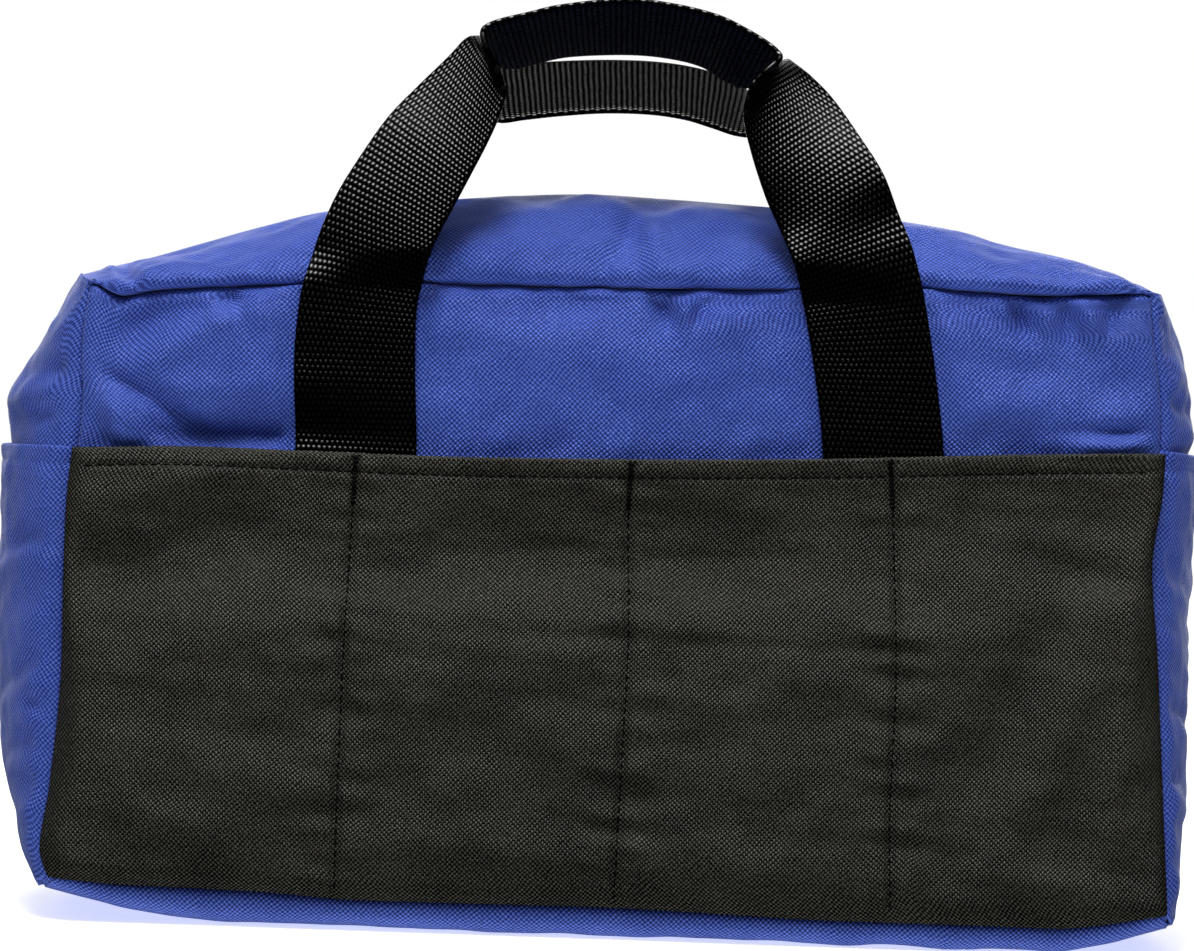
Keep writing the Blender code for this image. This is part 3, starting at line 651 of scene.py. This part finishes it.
def top_cloth(u, v):
    """Outer face of the top gusset with its folds. It rolls forward over the front seam."""
    point = top(u, v)
    round_way = nearer(v) * math.pi * HALF_DEPTH_TOP * 0.8
    x, z = point[..., 0], point[..., 2]
    forward = step((0.42 - v) / 0.1)
    sides = nearer(u) * PANEL_WIDTH
    lip = LIP * (round_way / LIP_AT) * np.exp(1 - round_way / LIP_AT) * step(sides / 12)
    lip = np.where(v < 0.5, lip * (1 - 0.8 * leg_place(x, z)), lip)
    fine = TOP_FINENESS * folded(FINE_TOP_FOLDS, x, z) * forward
    fine += wavy(TOP_WAVES, x, v) + wavy(TOP_PUCKERS, x, v) * bell((round_way - 4) / 7)
    slot_edge = np.abs(v - 0.5) * math.pi * HALF_DEPTH_TOP
    fine *= step(sides / 10) * step((slot_edge - 4) / 16)
    return moved_out(point, lip + fine - 1.2 * roll_in(round_way, 2.2))


BACK_GROOVE = 1.4


def back_cloth(u, v):
    point = back(u, v)
    x, z = point[..., 0], point[..., 2]
    sides = nearer(u) * PANEL_WIDTH
    ends = nearer(v) * PANEL_HEIGHT
    fine = wavy(BACK_WAVES, x, z) + wavy(BACK_PUCKERS, x, z) * bell((ends - 5) / 9)
    fine *= step(sides / 14) * step(ends / 8)
    point[..., 1] += fine - BACK_GROOVE * (roll_in(sides, 3.5) + roll_in(ends, 3.5))
    return point


# Handles

RIB = 1.9  # pitch of the webbing's ribs
RIB_HEIGHT = 0.07  # of a rib, as a share of the webbing's thickness
DOT = 1.72  # pitch of the raised crossings along a rib
STRAP_ROWS = 1001


def spline(stations, at):
    """Rows of a Catmull-Rom curve through a table, at shares 0 to 1 of its length."""
    rows = np.array(stations, float)
    last = len(rows) - 1
    place = np.clip(at, 0, 1) * last
    i = np.minimum(place.astype(int), last - 1)
    t = (place - i)[:, None]
    a, b, c, d = rows[np.maximum(i - 1, 0)], rows[i], rows[i + 1], rows[np.minimum(i + 2, last)]
    return 0.5 * (2 * b + (c - a) * t + (2 * a - 5 * b + 4 * c - d) * t * t
                  + (3 * b - a - 3 * c + d) * t**3)


def unit(vectors):
    return vectors / np.linalg.norm(vectors, axis=-1, keepdims=True)


def strap_frame(stations, facing, count):
    """Middle line of a handle, and the way across it, at even distances."""
    at = np.linspace(0, 1, 12 * len(stations))
    run = lengths(spline(stations, at)[None, :, :3], 1)[0]
    at = np.interp(np.linspace(0, run[-1], count), run, at)
    rows = spline(stations, at)
    aside, above = rows[:, 3], rows[:, 4]
    forward = np.sqrt(np.clip((WEBBING_WIDTH / 2) ** 2 - aside**2 - above**2, 0, None))
    side = unit(np.stack((aside, facing * forward, above), -1)) * -facing
    return rows[:, :3], side


def strap_profile():
    """Points round the webbing: how far across, how far out of its middle, in order."""
    half, thick = WEBBING_WIDTH / 2, WEBBING / 2
    across = np.linspace(-half + thick, half - thick, 20)
    turn = np.linspace(math.pi / 2, -math.pi / 2, 6)[1:-1]
    round_edge = np.stack((half - thick + thick * np.cos(turn), thick * np.sin(turn)), -1)
    face = np.stack((across, np.full_like(across, thick)), -1)
    return np.concatenate((face, round_edge, -face, -round_edge))


def seat_depth(facing, x, z):
    """y of the cloth that a handle's leg lies on."""
    if facing < 0:
        u, v = locate(x, z)
        return front_cloth(u, v)[..., 1]
    u = (x - BACK_RIGHT_X) / (BACK_LEFT_X - BACK_RIGHT_X)
    return back_cloth(u, (z - BACK_BOTTOM_Z) / (BACK_TOP_Z - BACK_BOTTOM_Z))[..., 1]


def strap_points(stations, facing, profile):
    """Grid of points round and along a handle, with their flat places."""
    centre, side = strap_frame(stations, facing, STRAP_ROWS)
    run = lengths(centre[None], 1)[0]
    across, out = profile.T
    rib = np.abs(np.sin(math.pi * run / RIB)) ** 0.7 - 0.6
    middle = centre[:, None] + side[:, None] * across[:, None]
    seat = seat_depth(facing, middle[..., 0], np.minimum(middle[..., 2], SEAT_TOP))
    lean = (HALF_DEPTH_BASE - HALF_DEPTH_TOP) / (LEAN_TOP - LEAN_BOTTOM)
    past_seat = np.clip(middle[..., 2] - SEAT_TOP, 0, None)
    seat = seat + facing * (WEBBING / 2 + WEBBING_SEAT - lean * past_seat)
    seated = 1 - step(past_seat / SEAT_FADE)
    middle[..., 1] = lerp(middle[..., 1], seat, seated)
    face = unit(np.cross(np.broadcast_to(side[:, None], middle.shape), np.gradient(middle, axis=0)))
    thickness = out * (1 + RIB_HEIGHT * rib[:, None])
    flat = np.stack(np.broadcast_arrays(across, run[:, None]), -1)
    return middle + face * thickness[..., None], flat


def handle(name, stations, facing, node, look):
    grid, flat = strap_points(stations, facing, strap_profile())
    rows, columns = grid.shape[:2]
    index = np.arange(rows * columns).reshape(rows, columns)
    right = np.roll(index, -1, axis=1)
    faces = np.stack((index[:-1].ravel(), right[:-1].ravel(),
                      right[1:].ravel(), index[1:].ravel()), 1).tolist()
    faces.append(index[0, ::-1].tolist())
    faces.append(index[-1].tolist())
    piece = make_mesh(name, grid.reshape(-1, 3), faces, flat.reshape(-1, 2), look)
    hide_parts(node)


# Stitches

def at_places(places, run, rows):
    """Rows at distances along a line, from the distances and rows of its points."""
    return np.stack([np.interp(places, run, rows[:, k]) for k in range(3)], -1)


def capsules(middles, alongs, outs, length, radius):
    """Points and faces of many short rounded stitches."""
    rings, sides = 5, 6
    t = np.linspace(-1, 1, rings)
    swell = np.sqrt(np.clip(1.04 - t**2, 0, 1))
    turn = np.arange(sides) * 2 * math.pi / sides
    across = np.cross(alongs, outs)
    body = (middles[:, None, None] + alongs[:, None, None] * (t * length / 2)[:, None, None]
            + across[:, None, None] * (swell[:, None] * np.cos(turn))[..., None] * radius
            + outs[:, None, None] * (swell[:, None] * np.sin(turn))[..., None] * radius)
    count = len(middles)
    index = np.arange(count * rings * sides).reshape(count, rings, sides)
    right = np.roll(index, -1, axis=2)
    quads = np.stack((index[:, :-1], index[:, 1:], right[:, 1:], right[:, :-1]), -1).reshape(-1, 4)
    faces = quads.tolist() + index[:, 0].tolist() + index[:, -1, ::-1].tolist()
    return body.reshape(-1, 3), faces


def stitched(name, lines, look, length=2.9, gap=0.7, radius=0.34, sink=0.05):
    """Stitches along lines of points. Each line is (points, outward directions)."""
    middles, alongs, outs = [], [], []
    for points, normals in lines:
        run = lengths(points[None], 1)[0]
        places = np.arange(gap, run[-1] - length, length + gap) + length / 2
        middle = at_places(places, run, points)
        ahead = at_places(places + 0.4, run, points)
        out = unit(at_places(places, run, normals))
        along = unit(ahead - middle)
        middles.append(middle + out * (radius * 0.35 - sink))
        alongs.append(along)
        outs.append(unit(out - along * np.sum(out * along, -1, keepdims=True)))
    points, faces = capsules(np.concatenate(middles), np.concatenate(alongs),
                             np.concatenate(outs), length, radius)
    make_mesh(name, points, faces, None, look)


# Materials

class Graph:
    """Short calls for building the nodes of a material or of the world."""

    def __init__(self, owner):
        self.owner = owner
        owner.use_nodes = True
        self.tree = owner.node_tree

    def put(self, socket, value):
        if isinstance(value, bpy.types.NodeSocket):
            self.tree.links.new(value, socket)
        else:
            socket.default_value = value

    def node(self, kind, inputs=(), **settings):
        made = self.tree.nodes.new(kind)
        for key, value in settings.items():
            setattr(made, key, value)
        for key, value in dict(inputs).items():
            self.put(made.inputs[key], value)
        return made

    def math(self, operation, *values, **settings):
        made = self.node("ShaderNodeMath", enumerate(values), operation=operation, **settings)
        return made.outputs[0]

    def wave(self, kind, place, pitch):
        """Sine or cosine of a place, which repeats after a pitch."""
        return self.math(kind, self.math("MULTIPLY", place, 2 * math.pi / pitch))

    def noise(self, vector, scale, detail=2.0, roughness=0.5):
        made = self.node("ShaderNodeTexNoise", {"Vector": vector, "Scale": scale,
                                                "Detail": detail, "Roughness": roughness})
        return made.outputs[0]

    def mix(self, share, first, second):
        made = self.node("ShaderNodeMix", data_type="RGBA")
        for key, value in (("Factor", share), ("A", (*first, 1)), ("B", (*second, 1))):
            self.put(made.inputs[key], value)
        return made.outputs["Result"]

    def finish(self, color, height, distance, strength, **sockets):
        bump = self.node("ShaderNodeBump", {"Height": height, "Distance": distance * MM,
                                            "Strength": strength})
        inputs = self.tree.nodes["Principled BSDF"].inputs
        self.put(inputs["Base Color"], color)
        self.put(inputs["Normal"], bump.outputs[0])
        for key, value in sockets.items():
            self.put(inputs[key.replace("_", " ")], value)
        return self.owner


def cloth_place(graph, waver):
    """U and V of the cloth in millimetres, made a little uneven as yarns are."""
    place = graph.node("ShaderNodeUVMap", uv_map="Cloth").outputs[0]
    parts = graph.node("ShaderNodeSeparateXYZ", {"Vector": place})
    drift = graph.math("SUBTRACT", graph.noise(place, 0.11, 3), 0.5)
    u = graph.math("ADD", parts.outputs[0], graph.math("MULTIPLY", drift, waver))
    v = graph.math("ADD", parts.outputs[1], graph.math("MULTIPLY", drift, -waver))
    return place, u, v


Weave = namedtuple("Weave", "name dark light pitch relief contrast uneven sheen specular roughness")
# Each weave's dark colour is painted shade in the hollows between crossings. Its light colour is a
# painted highlight on the raised crossings. The cloth's own colour lies between them.
BLUE = Weave("blue_cloth", (0.006, 0.016, 0.18), (0.118, 0.205, 0.74), pitch=0.86, relief=0.30,
             contrast=1.4, uneven=0.6, sheen=0.1, specular=0.1, roughness=0.36)
BLACK = Weave("black_cloth", (0.0002, 0.0002, 0.0002), (0.088, 0.086, 0.069), pitch=0.80, relief=0.36,
              contrast=2.4, uneven=0.9, sheen=0.0, specular=0.08, roughness=0.38)


def woven(weave):
    """Plain weave: raised crossings in a checker of warp and weft. The colour follows their height, with
    painted shade in the hollows and painted highlight on the crossings, plus random tone of yarns and
    patches.
    """
    graph = Graph(bpy.data.materials.new(weave.name))
    place, u, v = cloth_place(graph, 1.6)
    wave_u = graph.wave("SINE", u, 2 * weave.pitch)
    wave_v = graph.wave("SINE", v, 2 * weave.pitch)
    checker = graph.math("MULTIPLY", wave_u, wave_v)
    height = graph.math("MULTIPLY_ADD", checker, 0.5, 0.5)
    yarn = graph.noise(place, 1.1, 2)
    patches = graph.noise(place, 0.035, 4, 0.6)
    # Painted shade and highlight from the weave's height, plus random tone of yarns and patches
    painted_shade_and_tone = graph.math("MULTIPLY_ADD", graph.math("SUBTRACT", yarn, 0.5), weave.uneven, height)
    painted_shade_and_tone = graph.math("MULTIPLY_ADD", graph.math("SUBTRACT", patches, 0.5), 0.4, painted_shade_and_tone)
    painted_shade_and_tone = graph.math("POWER", graph.math("MAXIMUM", painted_shade_and_tone, 0.0), weave.contrast)
    color = graph.mix(painted_shade_and_tone, weave.dark, weave.light)
    return graph.finish(color, height, weave.relief, 1.0, Roughness=weave.roughness,
                        Sheen_Weight=weave.sheen, Sheen_Roughness=0.4, Specular_IOR_Level=weave.specular)


def webbing_look():
    """Ribs across the strap, each with a row of raised warp crossings. The colour is darker in the gaps
    and lighter on the ribs and crossings: painted shade and painted highlight, with random tone added.
    """
    graph = Graph(bpy.data.materials.new("black_webbing"))
    place, u, v = cloth_place(graph, 0.7)
    rib = graph.wave("SINE", v, 2 * RIB)
    ridge = graph.math("ABSOLUTE", rib)
    warp = graph.wave("COSINE", u, DOT)
    dots = graph.math("MULTIPLY_ADD", graph.math("MULTIPLY", rib, warp), 0.5,
                      graph.math("MULTIPLY", ridge, 0.5))
    height = graph.math("ADD", graph.math("MULTIPLY", ridge, 0.1), graph.math("MULTIPLY", dots, 0.9))
    uneven = graph.math("SUBTRACT", graph.noise(place, 0.9, 2), 0.5)
    painted_shade_and_tone = graph.math("MULTIPLY_ADD", uneven, 0.5, height)
    painted_shade_and_tone = graph.math("POWER", graph.math("MAXIMUM", painted_shade_and_tone, 0.0), 1.8)
    # Painted shade in the gaps, painted highlight on the raised crossings
    color = graph.mix(painted_shade_and_tone, (0.0002, 0.0002, 0.0002), (0.006, 0.006, 0.0055))
    shine = graph.math("MINIMUM", graph.math("MULTIPLY", painted_shade_and_tone, 0.5), 0.35)
    return graph.finish(color, height, 0.16, 1.0, Roughness=0.22, Specular_IOR_Level=shine)


def thread_look():
    """Twisted thread, with painted shade in the grooves of its twist."""
    graph = Graph(bpy.data.materials.new("black_thread"))
    place = graph.node("ShaderNodeTexCoord").outputs["Object"]
    twist = graph.node("ShaderNodeTexWave", {"Vector": place, "Scale": 900.0, "Distortion": 1.0},
                       bands_direction="DIAGONAL").outputs[1]
    color = graph.mix(twist, (0.002, 0.002, 0.002), (0.0032, 0.0032, 0.0032))
    return graph.finish(color, twist, 0.05, 0.6, Roughness=0.55, Specular_IOR_Level=0.03)


def zip_look():
    graph = Graph(bpy.data.materials.new("zip_tape"))
    place, u, v = cloth_place(graph, 0.3)
    twill = graph.wave("SINE", graph.math("ADD", u, v), 1.1)
    height = graph.math("MULTIPLY_ADD", twill, 0.5, 0.5)
    # The colour follows the twill's height: painted shade in its grooves, lighter on its ridges
    color = graph.mix(height, (0.006, 0.006, 0.007), (0.03, 0.03, 0.032))
    return graph.finish(color, height, 0.12, 0.8, Roughness=0.7, Specular_IOR_Level=0.06)


def plastic_look():
    graph = Graph(bpy.data.materials.new("zip_chain"))
    place = graph.node("ShaderNodeTexCoord").outputs["Object"]
    grain = graph.noise(place, 2500.0, 2)
    color = graph.mix(grain, (0.010, 0.010, 0.011), (0.022, 0.022, 0.024))
    return graph.finish(color, grain, 0.03, 0.4, Roughness=0.35, Specular_IOR_Level=0.08)


# Pieces

def make_front(looks):
    columns = graded(PANEL_WIDTH, 1.25, (0, 6, 0.7), (350, 356, 0.7))
    first_shown = POCKET_ROW - 0.05
    hidden = np.linspace(0, first_shown, 24)[:-1]
    shown = lerp(first_shown, 1, graded(62, 1.0, (56, 62, 0.5)))
    u, row = net(columns, np.concatenate((hidden, shown)))
    piece = cloth("front_cloth", front_cloth(u, rows_to_v(u, row)), looks["blue"])
    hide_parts("front_panel")


def make_front_pocket(looks):
    zones = [(smooth(line, 80) + 166, smooth(line, 80) + 182, 0.65) for line in DIVIDERS]
    columns = graded(PANEL_WIDTH, 1.7, (0, 5, 0.7), (347, 352, 0.7), *zones)
    rows = graded(POCKET_HEIGHT, 1.5, (0, 4, 0.7), (136, 143, 0.8), (143, 146, 0.3))
    u, share = net(columns, rows)
    grid = pocket_cloth(u, share)
    wall = CLOTH + HEM_FOLD * step(HEM - (1 - share) * POCKET_HEIGHT)
    piece = cloth("front_pocket_cloth", grid, looks["black"], wall)
    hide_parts("front_pocket")


END_POCKET_HEIGHT = 150.0
FIRST_END_SEEDS = (61, 71)


def make_ends(looks):
    columns = graded(120, 1.9, (0, 5, 0.8), (115, 120, 0.8))
    hems = (LEFT_POCKET_V, RIGHT_POCKET_V)
    for side, name, hem, seed in zip((-1, 1), ("left", "right"), hems, FIRST_END_SEEDS):
        u, v = net(columns, graded(215, 1.9, (140, 215, 1.4)))
        grid = end_cloth(side, u, END_FOLDS, seed, end(side, u, v), END_CURL)
        piece = cloth(f"{name}_end_cloth", grid, looks["blue"])
        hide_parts(f"{name}_end")

        rows = graded(END_POCKET_HEIGHT, 1.9, (139, 147, 0.9), (147, 150, 0.35))
        u, v = net(columns, lerp(0.006, 1, rows) * hem)
        share = v / hem
        mouth = lerp(POCKET_FOOT, END_MOUTH, step(nearer(u) / 0.2))
        outline = moved_out(end(side, u, v), stand_off(share, mouth))
        grid = end_cloth(side, u, END_POCKET_FOLDS, seed + 4, outline, END_POCKET_CURL)
        lip, foot = (1 - share) * END_POCKET_HEIGHT, share * END_POCKET_HEIGHT
        grid = moved_out(grid, 0.2 * bell((lip - 2) / 3) - 0.35 * bell((lip - 6) / 0.9)
                         - 0.6 * roll_in(lip, 1.0) - 0.8 * roll_in(foot, 3))
        wall = CLOTH + HEM_FOLD * step(HEM - lip)
        piece = cloth(f"{name}_end_pocket_cloth", grid, looks["blue"], wall)
        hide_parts(f"{name}_end_pocket")


def make_base(looks):
    columns = graded(362, 1.9, (0, 8, 1.0), (354, 362, 1.0))
    rows = graded(124, 2.6, (0, 18, 1.0), (106, 124, 0.8))
    u, v = net(columns, rows)
    piece = cloth("base_cloth", base_cloth(u, v), looks["blue"])
    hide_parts("base")


def make_top(looks):
    columns = graded(PANEL_WIDTH, 1.35, (0, 10, 0.9), (346, 356, 0.9))
    edge = 0.5 - top_share(ZIP_SLOT)
    u, v = net(columns, graded(62, 1.1, (0, 8, 0.5)) * edge)
    piece = cloth("top_front_cloth", top_cloth(u, v), looks["blue"])
    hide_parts("top_front")
    columns = graded(PANEL_WIDTH, 1.9, (0, 10, 1.2), (346, 356, 1.2))
    u, v = net(columns, 1 - graded(62, 1.5, (0, 8, 0.6))[::-1] * edge)
    piece = cloth("top_back_cloth", top_cloth(u, v), looks["blue"])
    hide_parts("top_back")


def make_back(looks):
    u, v = net(graded(PANEL_WIDTH, 2.3, (0, 5, 1.0), (351, 356, 1.0)),
               graded(PANEL_HEIGHT, 2.3, (0, 5, 1.0), (195, 200, 1.0)))
    piece = cloth("back_cloth", back_cloth(u, v), looks["blue"])
    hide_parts("back_panel")


def tape(u, v):
    """Outer face of the zip's tape, under the slot."""
    across = 0.5 + (v - 0.5) * 2 * top_share(ZIP_TAPE)
    return moved_out(top(u, across), -(CLOTH + ZIP_SINK))


TOOTH_PITCH, TOOTH_LENGTH, TOOTH_RADIUS = 1.9, 4.2, 0.72
CHAIN_END = 12.0  # from the end of the tape to the first tooth


def make_zip(looks):
    u, v = net(lerp(0.012, 0.988, graded(348, 2.2)), np.linspace(0, 1, 17))
    grid = tape(u, v)
    piece = cloth("zip_tape", grid, looks["zip"])
    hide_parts("zip")
    middle = (grid[7] + grid[9]) / 2
    out = normals_of(grid)[8]
    run = lengths(middle[None], 1)[0]
    places = np.arange(CHAIN_END, run[-1] - CHAIN_END, TOOTH_PITCH)
    spots = at_places(places, run, middle)
    outs = unit(at_places(places, run, out))
    sideways = np.where(np.arange(len(places)) % 2 == 0, 1.0, -1.0)[:, None] * np.array([0, 1.0, 0])
    sideways = unit(sideways - outs * np.sum(sideways * outs, -1, keepdims=True))
    spots = spots + sideways * 0.9 + outs * 0.45
    points, faces = capsules(spots, sideways, outs, TOOTH_LENGTH, TOOTH_RADIUS)
    make_mesh("zip_chain", points, faces, None, looks["plastic"])


def make_handles(looks):
    handle("front_webbing", FRONT_HANDLE, -1, "front_handle", looks["webbing"])
    handle("back_webbing", BACK_HANDLE, 1, "back_handle", looks["webbing"])


TACK_LENGTH = 16.5


def pocket_line(xs, zs):
    """Points and outward directions along a line on the black pocket."""
    points = pocket_at(xs, zs)
    lifted = pocket_at(xs, zs + 0.8)
    aside = pocket_at(xs + 0.8, zs)
    return points, unit(np.cross(aside - points, lifted - points))


def make_stitches(looks):
    """Visible seams of thread: the pocket's hem and dividers, and the bar tacks at their tops."""
    xs = np.linspace(-168, 182, 500)
    hem = [pocket_line(xs, smooth(POCKET_EDGE, xs) - HEM_STITCH)]
    zs = [np.linspace(13, smooth(POCKET_EDGE, line[-1].x) - 14, 220) for line in DIVIDERS]
    dividers = [pocket_line(smooth(line, z), z) for line, z in zip(DIVIDERS, zs)]
    stitched("pocket_hem_stitches", hem, looks["thread"])
    stitched("pocket_divider_stitches", dividers, looks["thread"])
    tacks = []
    for line in DIVIDERS:
        top_z = smooth(POCKET_EDGE, line[-1].x)
        z = np.linspace(top_z - TACK_LENGTH, top_z - 0.3, 60)
        for aside in (-0.45, 0.0, 0.45):
            tacks.append(pocket_line(smooth(line, z) + aside, z))
    stitched("pocket_bar_tacks", tacks, looks["thread"], 1.6, -0.25, 0.42, -0.15)


def make_floor():
    mesh = bpy.data.meshes.new("floor")
    reach = 30.0
    corners = [(-reach, -reach, 0), (reach, -reach, 0), (reach, reach, 0), (-reach, reach, 0)]
    mesh.from_pydata(corners, [], [(0, 1, 2, 3)])
    floor = placed("floor", mesh)
    material = bpy.data.materials.new("pale_floor")
    material.use_nodes = True
    inputs = material.node_tree.nodes["Principled BSDF"].inputs
    inputs["Base Color"].default_value = (0.85, 0.85, 0.85, 1)
    inputs["Roughness"].default_value = 0.9
    inputs["Specular IOR Level"].default_value = 0.0
    inputs["Emission Color"].default_value = (1, 1, 1, 1)
    inputs["Emission Strength"].default_value = 0.55
    mesh.materials.append(material)
    floor.visible_diffuse = False
    floor.visible_glossy = False


# The photograph's view. It was taken from in front, level, and turned by ROLL degrees.
CAMERA = (0.3, -1355.0, 151.5)
LENS, ROLL = 119.5, 2.0

# Lamps, in metres and watts. Gloss sees the world instead of them.
LAMPS = table(
    "name place target width height power",
    ("key", (-0.25, -0.8, 2.1), (0, 0, 0.12), 0.7, 0.6, 30.0),
    ("overhead", (0.15, -0.3, 1.9), (0, 0, 0.15), 1.0, 0.7, 5.5),
    ("front", (0.4, -1.8, 0.8), (0, 0, 0.12), 2.0, 1.5, 2.5),
)

# The world's light: what comes from all sides, and patches of a strength and its ramps. A ramp is
# an axis of the direction, a slope and the value at 0, held between 0 and 1. Two are multiplied.
GLOW = 0.03
GLOW_PATCHES = ((0.8, ("Y", 1.0, 0.2)), (2.6, ("Z", -3.0, -1.0)), (0.35, ("Z", 1.6, -0.3)))
# The same for mirrored light
GLOSS = 0.01
GLOSS_PATCHES = ((2.0, ("Y", 5.0, -3.9), ("Z", 5.0, 0.8)), (21.0, ("Z", 5.0, -3.4), ("Y", -3.6, 0.5)))


def make_light(lamp):
    data = bpy.data.lights.new(lamp.name, "AREA")
    data.shape = "RECTANGLE"
    data.size, data.size_y = lamp.width, lamp.height
    data.energy = lamp.power
    light = placed(lamp.name, data)
    light.visible_glossy = False
    light.location = lamp.place
    way = Vector(lamp.target) - Vector(lamp.place)
    light.rotation_euler = way.to_track_quat("-Z", "Y").to_euler()


def make_world():
    """White to the camera, and light from the patches to everything else."""
    world = bpy.data.worlds.new("studio")
    bpy.context.scene.world = world
    graph = Graph(world)
    place = graph.node("ShaderNodeTexCoord").outputs["Generated"]
    direction = graph.node("ShaderNodeSeparateXYZ", {"Vector": place}).outputs
    rays = graph.node("ShaderNodeLightPath").outputs

    def strength_of(total, patches):
        for strength, *ramps in patches:
            for axis, slope, start in ramps:
                ramp = graph.math("MULTIPLY_ADD", direction[axis], slope, start, use_clamp=True)
                strength = graph.math("MULTIPLY", ramp, strength)
            total = graph.math("ADD", strength, total)
        return total

    glossy = rays["Is Glossy Ray"]
    matt = graph.math("SUBTRACT", 1.0, glossy)
    scattered = graph.math("MULTIPLY", strength_of(GLOW, GLOW_PATCHES), matt)
    mirrored = graph.math("MULTIPLY", strength_of(GLOSS, GLOSS_PATCHES), glossy)
    nodes = graph.tree.nodes
    fill = nodes["Background"]
    fill.inputs["Color"].default_value = (1, 1, 1, 1)
    graph.put(fill.inputs["Strength"], graph.math("ADD", scattered, mirrored))
    white = graph.node("ShaderNodeBackground", {"Color": (1, 1, 1, 1)})
    shares = rays["Is Camera Ray"], fill.outputs[0], white.outputs[0]
    mix = graph.node("ShaderNodeMixShader", enumerate(shares))
    graph.put(nodes["World Output"].inputs["Surface"], mix.outputs[0])


def make_camera():
    data = bpy.data.cameras.new("camera")
    data.lens = LENS
    data.sensor_width = 36
    camera = placed("camera", data)
    level = Matrix.Rotation(math.radians(90), 4, "X") @ Matrix.Rotation(math.radians(ROLL), 4, "Z")
    camera.matrix_world = Matrix.Translation(Vector(CAMERA) * MM) @ level
    bpy.context.scene.camera = camera


def main():
    looks = {"blue": woven(BLUE), "black": woven(BLACK), "webbing": webbing_look(),
             "thread": thread_look(), "zip": zip_look(), "plastic": plastic_look()}
    for make in (make_front, make_front_pocket, make_ends, make_base, make_top, make_back, make_zip,
                 make_handles, make_stitches):
        make(looks)
    make_floor()
    for lamp in LAMPS:
        make_light(lamp)
    make_world()
    make_camera()
    bpy.context.scene.view_settings.view_transform = "Standard"


main()
